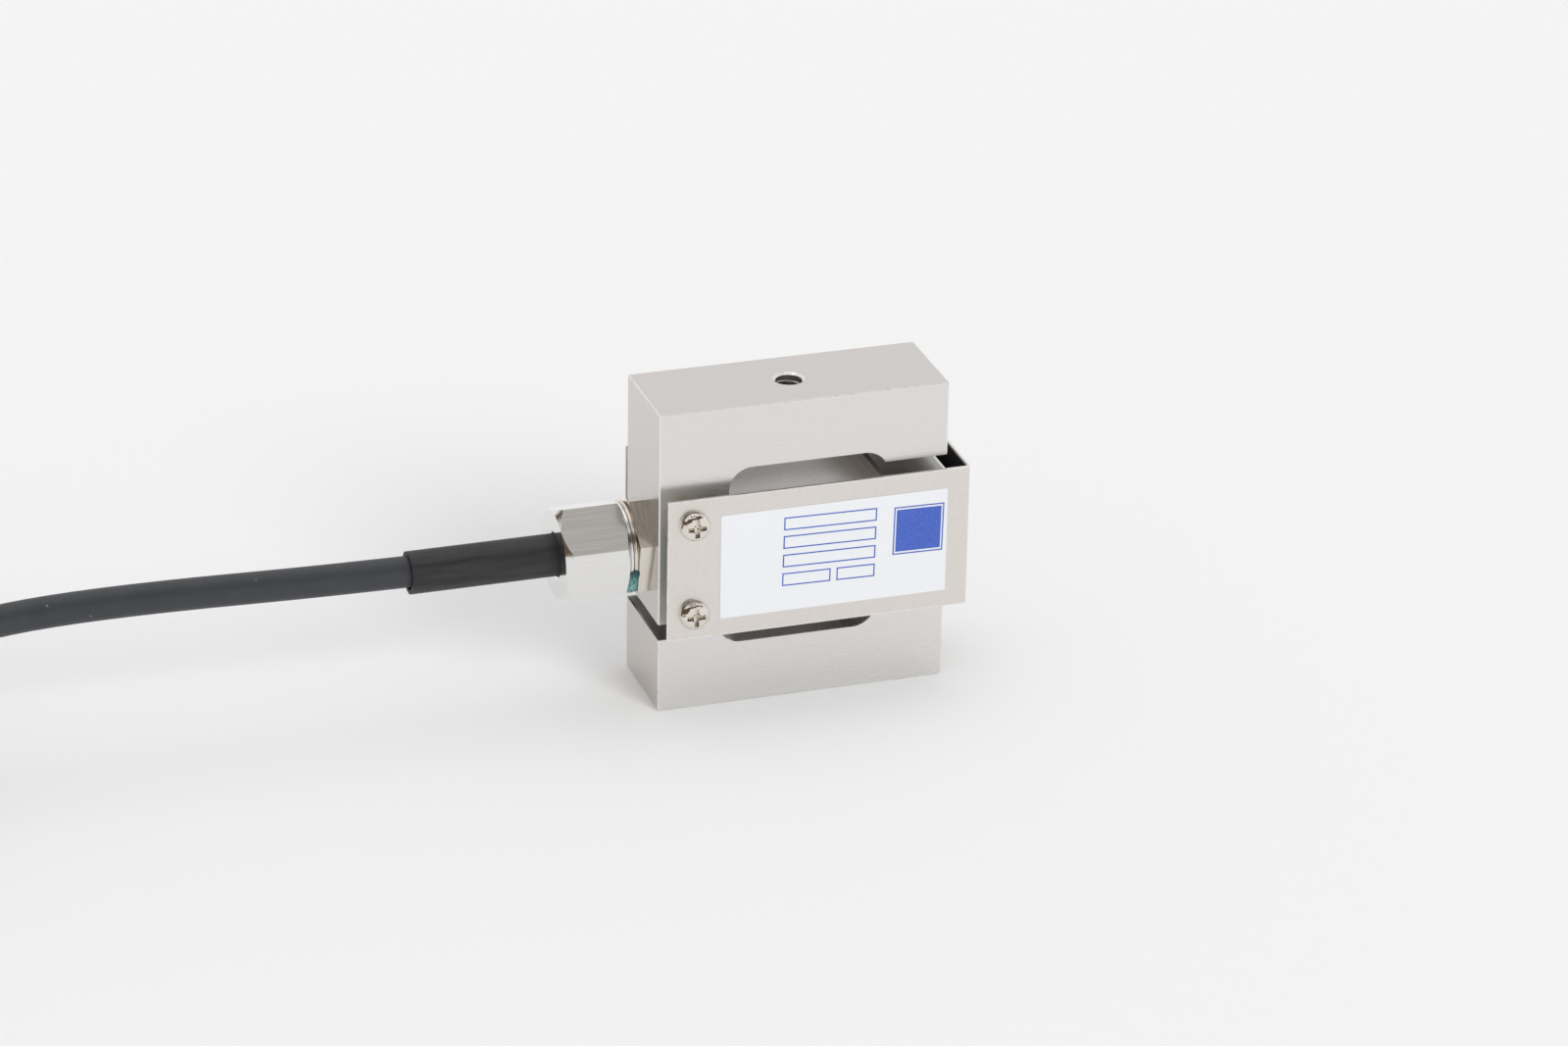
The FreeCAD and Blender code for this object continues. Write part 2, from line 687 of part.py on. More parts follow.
def make_gauge_leads():
    """Fine wires from the outer pads, over the beam's edge, into each coat."""
    radius = value("gauge_wire_radius")
    pad_x = value(f"{LEFT} + board_inset + board_width - pad_length")
    out_y = value(f"{FRONT} - board_sheet - pad_sheet - gauge_wire_radius")
    coat_y = value(f"{FRONT} + coat_margin")
    leads = []
    for side in (1, -1):
        coat_level = value(f"{MIDDLE} + {side} * ({BEAM_TOP} + coat_sheet / 2)")
        for index in range(4):
            level = value(pad_level(side * (5.5 - index)))
            turn_x = value(f"-flexure_spread - 2.5 + {index}")
            points = [Vector(pad_x, out_y, level), Vector(turn_x, out_y, level),
                      Vector(turn_x, out_y, coat_level), Vector(turn_x, coat_y, coat_level)]
            leads.append(tube(points, radius)[0])
    return group("gauge_leads", leads)


# ---------------------------------------------------------------- cable gland

def hexagon(sketch):
    """A hexagon about the sketch's origin, one corner leaning from the top towards the front."""
    corners = []
    for index in range(6):
        angle = f"(90 deg + hex_turn * 1 deg + {60 * index} deg)"
        corners.append((f"{HEX_CORNER} * cos{angle}", f"{HEX_CORNER} * sin{angle}"))
    polygon(sketch, corners)


def gland_sketch(body):
    """Sketch of a turned profile: along is outwards-negative from the left face, up is radius."""
    return new_sketch(body, "XZ_Plane", along=LEFT, up=MIDDLE)


def make_gland_body():
    body = new_body("gland_body")
    flange = new_sketch(body, "YZ_Plane", up=MIDDLE, out=f"{LEFT} - flange_length")
    hexagon(flange)
    pad(body, flange, "flange_length")
    collar_end = "(flange_length + body_collar_length)"
    turned = gland_sketch(body)
    polygon(turned, [("gland_thread_length", "0"), ("gland_thread_length", "gland_thread_radius"),
                     ("-flange_length", "gland_thread_radius"), ("-flange_length", UNDERCUT),
                     ("-flange_length - undercut_length", UNDERCUT),
                     ("-flange_length - undercut_length", BODY_COLLAR),
                     (f"-{collar_end}", BODY_COLLAR), (f"-{collar_end}", STUB_OUT),
                     (f"-{STUB_END}", STUB_OUT), (f"-{STUB_END}", "0")])
    turn(body, turned, ("Revolution", "H_Axis"))
    bore = gland_sketch(body)
    seat = f"({STUB_END} - seal_depth)"
    sleeve = f"({SLEEVE_OUT} + sleeve_play)"
    polygon(bore, [("gland_thread_length", "0"), ("gland_thread_length", "cable_radius"),
                   ("-sleeve_entry", "cable_radius"), ("-sleeve_entry", sleeve), (f"-{seat}", sleeve),
                   (f"-{seat}", SEAL_OUT), (f"-{STUB_END}", SEAL_OUT), (f"-{STUB_END}", "0")])
    turn(body, bore, ("Groove", "H_Axis"))
    round_edges(body, is_ring(BODY_COLLAR), "0.4 * body_collar_length")
    return body


def make_gland_nut():
    body = new_body("gland_nut")
    prism = new_sketch(body, "YZ_Plane", up=MIDDLE, out=f"{LEFT} - {NUT_END}")
    hexagon(prism)
    pad(body, prism, "nut_length")
    collar = gland_sketch(body)
    collar_start = f"-({NUT_START} - nut_collar_length)"
    collar_end = f"(undercut_length - {NUT_START})"
    polygon(collar, [(collar_start, STUB_OUT), (collar_start, NUT_COLLAR),
                     (collar_end, NUT_COLLAR), (collar_end, UNDERCUT),
                     (f"-{NUT_START}", UNDERCUT), (f"-{NUT_START}", STUB_OUT)])
    turn(body, collar, ("Revolution", "H_Axis"))
    # chamfered corners: a steep cone at the cable's end, a short one at the back
    beyond = f"({HEX_CORNER} + 1)"
    rise = f"({beyond} - {NUT_RIM})"
    back_run = f"(nut_back_chamfer * {rise} / ({HEX_CORNER} - {NUT_RIM}))"
    bevels = gland_sketch(body)
    polygon(bevels, [(f"-{NUT_END}", NUT_RIM), (f"-{NUT_END} + {rise}", beyond),
                     (f"-{NUT_END}", beyond)])
    polygon(bevels, [(f"-{NUT_START}", NUT_RIM), (f"-{NUT_START}", beyond),
                     (f"-{NUT_START} - {back_run}", beyond)])
    turn(body, bevels, ("Groove", "H_Axis"))
    bore = gland_sketch(body)
    polygon(bore, [(collar_start, "0"), (collar_start, STUB_OUT),
                   (f"-{NUT_SHOULDER}", STUB_OUT), (f"-{NUT_SHOULDER}", NUT_MOUTH),
                   (f"-{NUT_END} + mouth_chamfer", NUT_MOUTH),
                   (f"-{NUT_END}", f"{NUT_MOUTH} + mouth_chamfer"), (f"-{NUT_END}", "0")])
    turn(body, bore, ("Groove", "H_Axis"))
    round_edges(body, is_ring(NUT_COLLAR), "0.4 * nut_collar_length")
    return body


def make_ring(label, start, end, inner, outer):
    """A plain turned ring between two distances out from the left face."""
    body = new_body(label)
    profile = gland_sketch(body)
    rectangle(profile, f"-{end}", inner, f"-{start}", outer)
    turn(body, profile, ("Revolution", "H_Axis"))
    return body


def make_gland_seal():
    return make_ring("gland_seal", f"({STUB_END} - seal_depth)", f"({NUT_SHOULDER} - washer_sheet)",
                     SLEEVE_OUT, SEAL_OUT)


def make_gland_washer():
    return make_ring("gland_washer", f"({NUT_SHOULDER} - washer_sheet)", NUT_SHOULDER,
                     NUT_MOUTH, f"{STUB_OUT} - washer_play")


def make_sleeve():
    return make_ring("cable_sleeve", "sleeve_entry", "sleeve_length", SLEEVE_IN, SLEEVE_OUT)


# ---------------------------------------------------------------- cable, hank and stripped end

def hank_places():
    """The hank's two lanes a side, its levels and where its folds stand.

    The cable runs in on the outer lane at the front and ends on the inner one, in the opening.
    """
    radius = value("cable_radius")
    inner = value("hank_fold")
    outer = inner + 2 * radius
    near = value(f"{LEFT} - hank_distance")
    bottom = value("tie_sheet + cable_radius")
    bulged = near + value("hank_bulge")
    # how far a lane runs on before it is clear of the outermost fold
    clear = math.sqrt((outer + radius) ** 2 - (outer - radius) ** 2) + value("hank_stub_spare")
    return {
        "inner": inner, "outer": outer, "near": near, "bulged": bulged,
        "far": near - value("hank_run"),
        "middle": outer - value("hank_side"),
        "bottom": bottom,
        "top": bottom + (int(value("hank_levels")) - 1) * 2 * radius,
        "run_in": bulged + clear,
    }


def cable_route():
    """Points of the cable from its inner end to the hank's top level."""
    left, middle = value(LEFT), value(MIDDLE)
    hank = hank_places()
    side = -value("hank_side")
    return [Vector(left + value("cable_entry"), 0, middle),
            Vector(left - 48, 0, middle),
            Vector(left - 102, 0, middle + 1.9),
            Vector(left - 129, 0, middle + 0.2),
            Vector(hank["run_in"] + 16, side, hank["top"]),
            Vector(hank["run_in"], side, hank["top"])]


def tail_route():
    """Points of the jacket's end, from the inner lane at the front into the hank's opening."""
    hank = hank_places()
    lane = hank["middle"] - hank["inner"]
    tucked = lane + value("tail_shift")
    start = hank["near"] + value("tail_start")
    bend = start - value("tail_run")
    straight = bend - value("tail_slant")
    return [Vector(start, lane, hank["bottom"]), Vector(bend, lane, hank["bottom"]),
            Vector(straight, tucked, hank["bottom"]),
            Vector(straight - value("tail_run"), tucked, hank["bottom"])]


def make_cable():
    solid, length, radii = tube(cable_route(), value("cable_radius"))
    print("cable tube length", round(length, 1), "arc radii", [round(r) for r in radii])
    feature = doc.addObject("Part::Feature", "cable_tube")
    feature.Shape = solid
    feature.Label = "cable_tube"
    return feature


def oval(near, far, middle, reach, low, high):
    """A block with a stadium outline: two half rounds about places on one line along X."""
    corners = [Vector(near, middle - reach, low), Vector(near + reach, middle, low),
               Vector(near, middle + reach, low), Vector(far, middle + reach, low),
               Vector(far - reach, middle, low), Vector(far, middle - reach, low)]
    outline = Part.Wire([Part.Arc(*corners[:3]).toShape(),
                         Part.LineSegment(corners[2], corners[3]).toShape(),
                         Part.Arc(*corners[3:]).toShape(),
                         Part.LineSegment(corners[5], corners[0]).toShape()])
    return Part.Face(outline).extrude(Vector(0, 0, high - low))


def make_hank():
    """The hank's outer shape: a long rounded ring, with the cable's run in and its tucked tail."""
    hank = hank_places()
    radius = value("cable_radius")
    low, high = hank["bottom"] - radius, hank["top"] + radius
    ring = oval(hank["bulged"], hank["far"], hank["middle"], hank["outer"] + radius, low, high)
    ring = ring.cut(oval(hank["near"], hank["far"], hank["middle"], hank["inner"] - radius, low, high))
    ring = ring.makeFillet(0.8 * radius, [edge for edge in ring.Edges
                                          if abs(edge.Vertexes[0].Z - edge.Vertexes[-1].Z) < 1e-6])
    arrive = Vector(hank["bulged"], -value("hank_side"), hank["top"])
    run_in = Part.makeCylinder(radius, hank["run_in"] - hank["bulged"], arrive, Vector(1, 0, 0))
    tail, _, radii = tube(tail_route(), radius)
    print("tail arc radii", [round(r) for r in radii])
    feature = doc.addObject("Part::Feature", "cable_hank")
    feature.Shape = ring.fuse([run_in, tail]).removeSplitter()
    feature.Label = "cable_hank"
    return feature


def make_ties():
    """A band round each side of the hank, at the middle of its runs."""
    hank = hank_places()
    radius, play, band = value("cable_radius"), value("tie_play"), value("tie_sheet")
    width = value("tie_width")
    across = hank["outer"] - hank["inner"] + 2 * radius + 2 * play
    tall = hank["top"] - hank["bottom"] + 2 * radius + play
    start = (hank["near"] + hank["far"] - width) / 2

    def rounded(block, size):
        return block.makeFillet(size, [edge for edge in block.Edges
                                       if abs(edge.Vertexes[0].X - edge.Vertexes[1].X) > width / 2])

    ties = []
    for lane in (hank["middle"] - hank["outer"], hank["middle"] + hank["inner"]):
        corner = Vector(start, lane - radius - play, band)
        hollow = Part.makeBox(width, across, tall, corner)
        shell = Part.makeBox(width, across + 2 * band, tall + 2 * band, corner - Vector(0, band, band))
        ties.append(rounded(shell, 0.5 * radius + band).cut(rounded(hollow, 0.5 * radius)))
    return group("hank_ties", ties)


def make_end_collar():
    """The short shrunk collar over the end of the jacket."""
    feature = doc.addObject("Part::Feature", "end_collar")
    feature.Shape = Part.makeCylinder(value("cable_radius + collar_wall"), value("collar_length"),
                                      tail_route()[-1], Vector(-1, 0, 0))
    feature.Label = "end_collar"
    return feature


def make_lead_ends():
    """Five stripped cores that fan out a little from the collar."""
    way = Vector(-1, 0, 0)
    side = way.cross(Vector(0, 0, 1))
    start = tail_route()[-1] + way * value("collar_length")
    radius, length = value("core_radius"), value("core_length")
    cores = []
    for index in range(5):
        angle = math.radians(90 + 72 * index)
        offset = side * math.cos(angle) + Vector(0, 0, math.sin(angle))
        root = start + offset * value("core_ring")
        spread = side * (math.cos(angle) * value("core_fan"))
        low = Vector(0, 0, radius + 0.05 - root.z)
        points = [root,
                  root + way * 0.2 * length,
                  root + way * 0.5 * length + spread * 0.5 + low * 0.7,
                  root + way * 0.78 * length + spread + low * 0.95,
                  root + way * length + spread * 1.1 + low]
        cores.append(tube(points, radius)[0])
    return group("lead_ends", cores)


# ---------------------------------------------------------------- build, check, write

pieces = [make_block(), make_cover(), make_lining(), make_label(), make_screws(), make_spacers()]
pieces += make_gauges_and_coats()
pieces += [make_board(), make_chips(), make_signal_leads(), make_gauge_leads()]
pieces += [make_gland_body(), make_gland_nut(), make_gland_seal(), make_gland_washer(), make_sleeve()]
pieces += [make_cable(), make_hank(), make_ties(), make_end_collar(), make_lead_ends()]
doc.recompute()

for thing in doc.Objects:
    if "Invalid" in thing.State or "Error" in thing.State:
        raise RuntimeError(f"{thing.Label} failed: {thing.State}")
os.makedirs("parts", exist_ok=True)
for piece in pieces:
    if piece.Shape.isNull() or not piece.Shape.isValid():
        raise RuntimeError(f"{piece.Label} has no valid shape")
    piece.Shape.exportStep(f"parts/{piece.Label}.step")
    print(piece.Label, len(piece.Shape.Solids), "solid(s)", round(piece.Shape.Volume, 2), "mm3")
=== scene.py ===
# %% [markdown]
# # Looks for an S type load cell
#
# An S type load cell is a small steel or aluminium block, cut to the shape of an S, that bends a
# little when it is pulled. Strain gauges glued inside it feel the bend. The block, its cover, its
# gland and its cable come from a CAD model, and this lesson gives them their looks: the finish of
# each metal, the print on the label, the thread in the holes and the cable's soft line.
# Lengths are in metres, as in the CAD model, or in millimetres where a line says so.

# %% Load the CAD model
import math

import bmesh
import bpy
import numpy as np
from mathutils import Matrix, Vector


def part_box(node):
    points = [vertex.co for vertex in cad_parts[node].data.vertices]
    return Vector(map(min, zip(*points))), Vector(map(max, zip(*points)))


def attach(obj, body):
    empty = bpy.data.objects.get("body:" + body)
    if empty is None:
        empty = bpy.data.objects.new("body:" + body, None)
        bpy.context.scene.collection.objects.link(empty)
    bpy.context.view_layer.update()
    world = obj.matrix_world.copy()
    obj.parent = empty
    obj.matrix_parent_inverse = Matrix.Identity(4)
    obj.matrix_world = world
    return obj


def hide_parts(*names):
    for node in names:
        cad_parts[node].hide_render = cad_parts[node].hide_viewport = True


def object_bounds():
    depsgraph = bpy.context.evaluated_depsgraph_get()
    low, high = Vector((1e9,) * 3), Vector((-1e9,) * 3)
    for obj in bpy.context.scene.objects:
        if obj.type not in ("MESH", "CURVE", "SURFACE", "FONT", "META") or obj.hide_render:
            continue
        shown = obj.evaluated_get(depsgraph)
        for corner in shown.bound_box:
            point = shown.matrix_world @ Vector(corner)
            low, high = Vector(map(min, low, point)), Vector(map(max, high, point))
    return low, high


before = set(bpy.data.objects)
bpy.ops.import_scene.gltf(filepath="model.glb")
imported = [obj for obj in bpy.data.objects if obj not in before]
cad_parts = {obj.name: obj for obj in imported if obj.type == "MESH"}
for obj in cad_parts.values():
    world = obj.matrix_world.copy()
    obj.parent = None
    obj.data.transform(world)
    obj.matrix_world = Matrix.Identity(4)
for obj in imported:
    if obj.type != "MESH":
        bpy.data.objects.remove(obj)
cad_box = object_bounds()
mm = 0.001
print("CAD nodes", len(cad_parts))
print("CAD box in mm", [round(v / mm, 1) for corner in cad_box for v in corner])

# %% [markdown]
# ## Camera
#
# The block is seen from its front left and a little above. A long lens from about a metre away
# keeps its edges almost parallel, as in a catalogue picture. The camera's three axes are worked
# out from two angles and a small roll, which is easier to adjust than a rotation in Euler angles.

# %% Camera
TURN, TILT, ROLL = (math.radians(v) for v in (18.8075, 24.9265, 1.0345))
CAMERA_PLACE, LENS_MM, SENSOR_MM = (-0.310345, -0.910040, 0.477372), 130.2966, 36


def camera_axes(turn, tilt, roll):
    """Right, up and back of a camera: back points from the object to it, turned to the left of
    straight ahead and raised by the tilt; right is level, and the roll turns right and up."""
    back = Vector((-math.sin(turn) * math.cos(tilt), -math.cos(turn) * math.cos(tilt), math.sin(tilt)))
    right = Vector((0, 0, 1)).cross(back).normalized()
    up = back.cross(right)
    return (right * math.cos(roll) + up * math.sin(roll),
            up * math.cos(roll) - right * math.sin(roll), back)


camera = bpy.data.objects.new("camera", bpy.data.cameras.new("camera"))
bpy.context.scene.collection.objects.link(camera)
axes = Matrix([list(axis) for axis in camera_axes(TURN, TILT, ROLL)]).transposed().to_4x4()
camera.matrix_world = Matrix.Translation(CAMERA_PLACE) @ axes
camera.data.lens, camera.data.sensor_width = LENS_MM, SENSOR_MM
camera.data.clip_start, camera.data.clip_end = 0.05, 50
bpy.context.scene.camera = camera
print("camera stands", round(camera.location.length, 3), "m from the block's foot")

# %% [markdown]
# ## Cable
#
# Three metres of round cable leave the gland, run level for a hand's width and are folded into a
# neat hank beside the cell, which two bands hold. One NURBS spline is the whole cable: a few
# points for the free run, and twelve for each half turn of the hank. A spline of order three
# touches the lines between its points at their middles. Points that stand on a circle's tangents,
# twice nine degrees apart, therefore bend it into that circle.

# %% Points of the free run, of the hank and of the tucked end, in millimetres
RUN = [(-23, 0, 30), (-76, 0, 30), (-130, 0, 31.9), (-157, 0, 30.2), (-174, -8, 27.8), (-190, -8, 27.8)]
TAIL = [(-223, -2, 3.8), (-241, 7, 3.8), (-255, 7, 3.8), (-256, 7, 3.8)]
NEAR, FAR, MIDDLE_LINE = -215.0, -293.0, 16.0
OUTER, INNER, BULGE = 24.0, 18.0, 7.0
LANES = [OUTER, INNER, INNER, OUTER, OUTER, INNER, INNER, OUTER, OUTER, INNER]
CABLE, TOP_LEVEL = 6.0, 27.8
FOLD_ANGLES = np.radians(np.arange(-9, 190, 18))


def smooth(share):
    """Eases from 0 to 1: three times the share squared less twice its cube, held outside 0 to 1."""
    share = np.clip(share, 0, 1)
    return share * share * (3 - 2 * share)


def fold(where, side, start, end, height, drop=0.0):
    """Points of a half turn about a place on the hank's middle line, from the lane at one
    distance from that line to the lane at another, going down by the drop."""
    middle, reach = (start + end) / 2, (start - end) / 2 / math.cos(FOLD_ANGLES[1])
    return np.stack([where + side * abs(reach) * np.sin(FOLD_ANGLES),
                     MIDDLE_LINE + middle + reach * np.cos(FOLD_ANGLES),
                     height - drop * smooth(FOLD_ANGLES / math.pi)], 1)


def hank_points():
    """Points of the hank from its top level down. Each level has two turns, one inside the other,
    and the cable steps down at the end of the second. The wider near folds stand further out,
    so that they clear the narrower ones."""
    points = []
    for turn, (lane, after) in enumerate(zip(LANES, LANES[1:])):
        height = TOP_LEVEL - CABLE * (turn // 2)
        further = BULGE * (lane + after - 2 * INNER) / (2 * OUTER - 2 * INNER)
        points.append(fold(FAR, -1, -lane, lane, height))
        points.append(fold(NEAR + further, 1, lane, -after, height, CABLE * (turn % 2)))
    return np.vstack(points)


cable_points = np.vstack([RUN, hank_points(), TAIL])
jacket_end, way_out = np.array(TAIL[-2], float), np.array([-1.0, 0, 0])
print("turns of the hank", len(LANES) - 1)

# %% Cable


def spline_curve(name, points, radius):
    """A NURBS curve of order three through its two end points, with a round section. The radius
    is kept at the points, in metres, so that the curve's box is as large as the tube."""
    data = bpy.data.curves.new(name, "CURVE")
    data.dimensions = "3D"
    spline = data.splines.new("NURBS")
    spline.points.add(len(points) - 1)
    spline.points.foreach_set("co", np.hstack([points * mm, np.ones((len(points), 1))]).ravel())
    spline.points.foreach_set("radius", np.full(len(points), radius * mm))
    spline.order_u = 3
    spline.use_endpoint_u = True
    data.resolution_u = 7
    data.bevel_depth = 1.0 if radius > 0 else 0.0
    data.bevel_resolution = 5
    data.use_fill_caps = radius > 0
    made = bpy.data.objects.new(name, data)
    bpy.context.scene.collection.objects.link(made)
    return made


cable = spline_curve("cable", cable_points, CABLE / 2)
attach(cable, "root")
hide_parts("cable_tube", "cable_hank")
print("cable", CABLE, "mm across, on", len(cable_points), "control points")

# %% [markdown]
# ## Stripped end of the cable
#
# The jacket ends in a short shrunk collar, and five thin cores fan out of it, each in its own
# colour, with its end dipped in tin. A core could be another bevelled curve, but its tin end
# needs a second finish, so each core is a tube swept along points that are read from a spline.

# %% A tube along a line, as whole arrays


def tube_surface(path, radii, sides=12):
    """A closed tube: rings of points at each point of the path, in the plane square to it, at
    that place's radius, and a point on the path at both ends to close them."""
    along = np.gradient(path, axis=0)
    along /= np.linalg.norm(along, axis=1)[:, None]
    across = np.cross(along, (0, 0, 1.0))
    across /= np.linalg.norm(across, axis=1)[:, None]
    upright = np.cross(across, along)
    angle = np.arange(sides) * 2 * math.pi / sides
    ring = across[:, None] * np.cos(angle)[:, None] + upright[:, None] * np.sin(angle)[:, None]
    points = path[:, None] + ring * np.asarray(radii)[:, None, None]
    row, after = np.arange(sides), (np.arange(sides) + 1) % sides
    first = np.arange(len(path) - 1)[:, None] * sides
    quads = np.stack([first + row, first + after, first + sides + after, first + sides + row], -1)
    last, head, tail = (len(path) - 1) * sides, len(path) * sides, len(path) * sides + 1
    caps = np.vstack([np.stack([0 * row + head, after, row], 1),
                      np.stack([0 * row + tail, last + row, last + after], 1)])
    points = np.vstack([points.reshape(-1, 3), path[:1], path[-1:]])
    return points, quads.reshape(-1, 4).tolist() + caps.tolist()


def mesh_piece(name, parts, smooth_faces=True):
    """One object from several surfaces, each given as points in millimetres, faces and the
    number of its material. Normals are worked out again, so that they all point outwards."""
    points, faces, numbers, count = [], [], [], 0
    for part_points, part_faces, number in parts:
        points.append(np.asarray(part_points) * mm)
        faces += [tuple(corner + count for corner in face) for face in part_faces]
        numbers += [number] * len(part_faces)
        count += len(part_points)
    mesh = bpy.data.meshes.new(name)
    mesh.from_pydata(np.vstack(points).tolist(), [], faces)
    mesh.polygons.foreach_set("material_index", numbers)
    mesh.polygons.foreach_set("use_smooth", [smooth_faces] * len(faces))
    turn_outwards(mesh)
    made = bpy.data.objects.new(name, mesh)
    bpy.context.scene.collection.objects.link(made)
    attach(made, "root")
    return made


def turn_outwards(mesh):
    """Merges double points and turns all faces of closed surfaces outwards."""
    work = bmesh.new()
    work.from_mesh(mesh)
    bmesh.ops.remove_doubles(work, verts=work.verts, dist=1e-7)
    bmesh.ops.recalc_face_normals(work, faces=work.faces)
    work.to_mesh(mesh)
    work.free()


def spline_line(points, name="guide"):
    """Points along a NURBS spline, in millimetres, read from a curve without a section."""
    guide = spline_curve(name, points, 0)
    line = bpy.data.meshes.new_from_object(guide)
    read = np.zeros(len(line.vertices) * 3)
    line.vertices.foreach_get("co", read)
    bpy.data.objects.remove(guide)
    bpy.data.meshes.remove(line)
    return read.reshape(-1, 3) / mm


# %% Cores and their tinned ends
CORES, CORE_RADIUS, CORE_LENGTH, CORE_RING, CORE_FAN = 5, 0.65, 30.0, 1.7, 3.0
COLLAR_LENGTH, CORE_LYING_Z = 14, 0.70
TIN_START, TIN_RADIUS, TIN_THINNING = 0.82, 0.42, 0.10
# Shares of a core's length, of its way outwards and of its fall, at its points past the collar.
CORE_WAY = np.array([(0.2, 0, 0), (0.5, 0.5, 0.7), (0.78, 1.0, 0.95), (1.0, 1.1, 1.0)])
collar_end = jacket_end + way_out * COLLAR_LENGTH
sideways = np.cross(way_out, (0, 0, 1.0))


def core_route(number):
    """Control points of one core: out of its place in the collar, straight on, then outwards
    and down to the floor."""
    angle = math.radians(90 + 360 / CORES * number)
    root = collar_end + (sideways * math.cos(angle) + np.array([0, 0, math.sin(angle)])) * CORE_RING
    fan = sideways * math.cos(angle) * CORE_FAN
    fall = np.array([0, 0, CORE_LYING_Z - root[2]])
    return np.vstack([root - way_out, root + CORE_WAY @ np.array([way_out * CORE_LENGTH, fan, fall])])


jackets, tips = [], []
for number in range(CORES):
    line = spline_line(core_route(number))
    cut = int(len(line) * TIN_START)
    jackets.append((*tube_surface(line[:cut], np.full(cut, CORE_RADIUS)), number))
    rest = np.linspace(0, 1, len(line) - cut + 1)
    tips.append((*tube_surface(line[cut - 1:], TIN_RADIUS - TIN_THINNING * rest ** 4), 0))
cores = mesh_piece("cable_cores", jackets)
core_tips = mesh_piece("core_tips", tips)
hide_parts("lead_ends")
print("cores", CORES, "each about", CORE_LENGTH, "mm long")

# %% [markdown]
# ## Print, threads and small things
#
# Some small shapes are only for looks: the blue boxes printed on the label, the ridge of each
# thread, a dab of teal paint that shows whether the nut has turned, and drops that the poured
# coat left behind.

# %% Surfaces for the small pieces


def slab(low, high):
    """A box from its two corners, as points and faces. The three binary digits of a point's
    number say whether it takes the low or the high x, y and z."""
    digits = (np.arange(8)[:, None] >> np.arange(3)) & 1
    points = np.where(digits, high, low).astype(float)
    return points, [(0, 1, 3, 2), (4, 6, 7, 5), (0, 4, 5, 1), (2, 3, 7, 6), (0, 2, 6, 4), (1, 5, 7, 3)]


def patch(outside, inside):
    """A closed thin body between two grids of points, joined round their rims."""
    rows, row = outside.shape[:2]
    number = np.arange(rows * row).reshape(rows, row)
    quads = np.stack([number[:-1, :-1], number[1:, :-1], number[1:, 1:], number[:-1, 1:]], -1)
    quads = quads.reshape(-1, 4)
    rim = np.concatenate([number[0], number[1:, -1], number[-1, -2::-1], number[-2:0:-1, 0]])
    after = np.roll(rim, -1)
    under = rows * row
    wall = np.stack([rim, after, after + under, rim + under], 1)
    faces = np.vstack([quads, (quads + under)[:, ::-1], wall])
    return np.vstack([outside.reshape(-1, 3), inside.reshape(-1, 3)]), faces.tolist()


# %% Print on the label
label_low, label_high = (np.array(corner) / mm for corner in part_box("label"))
PRINT_TILT, PRINT_SHEET, PRINT_LINE = math.radians(-1.1), 0.02, 0.25
# Middle along the label, middle up it, width and height of each outlined box, in millimetres.
PRINT_BOXES = [(-0.955, 7.05, 18.1, 2.6), (-0.955, 3.30, 18.1, 2.6), (-0.955, -0.49, 18.1, 2.6),
               (-5.27, -4.28, 9.45, 2.6), (4.36, -4.28, 7.5, 2.6), (16.40, 3.18, 9.83, 9.68)]
MARK_SQUARE = (16.40, 3.18, 8.79, 8.50)


def printed(middle_x, middle_z, width, height):
    """A filled rectangle of ink on the label, in the print's own slightly turned frame."""
    points, faces = slab((middle_x - width / 2, 0, middle_z - height / 2),
                         (middle_x + width / 2, PRINT_SHEET, middle_z + height / 2))
    cosine, sine = math.cos(PRINT_TILT), math.sin(PRINT_TILT)
    middle = (label_low + label_high) / 2
    return np.stack([middle[0] + points[:, 0] * cosine - points[:, 2] * sine,
                     label_low[1] - points[:, 1],
                     middle[2] + points[:, 0] * sine + points[:, 2] * cosine], 1), faces, 0


def outline(middle_x, middle_z, width, height):
    """Four bars of ink round a rectangle; the upright ones fit between the level ones."""
    inside = height - 2 * PRINT_LINE
    bars = [(middle_x, middle_z + way * (height - PRINT_LINE) / 2, width, PRINT_LINE) for way in (-1, 1)]
    bars += [(middle_x + way * (width - PRINT_LINE) / 2, middle_z, PRINT_LINE, inside) for way in (-1, 1)]
    return [printed(*bar) for bar in bars]


ink_parts = [bar for box in PRINT_BOXES for bar in outline(*box)] + [printed(*MARK_SQUARE)]
label_print = mesh_piece("label_print", ink_parts, smooth_faces=False)
print("printed bars and fields", len(ink_parts))

# %% Threads
THREAD_PITCH, THREAD_CREST, THREAD_ROOT, THREAD_LENGTH, THREAD_LEAD_IN = 1.0, 2.2, 2.52, 10.6, 0.9
THREAD_SECTION, THREAD_STEPS = ((-0.46, 0), (0, 1), (0.46, 0)), 40


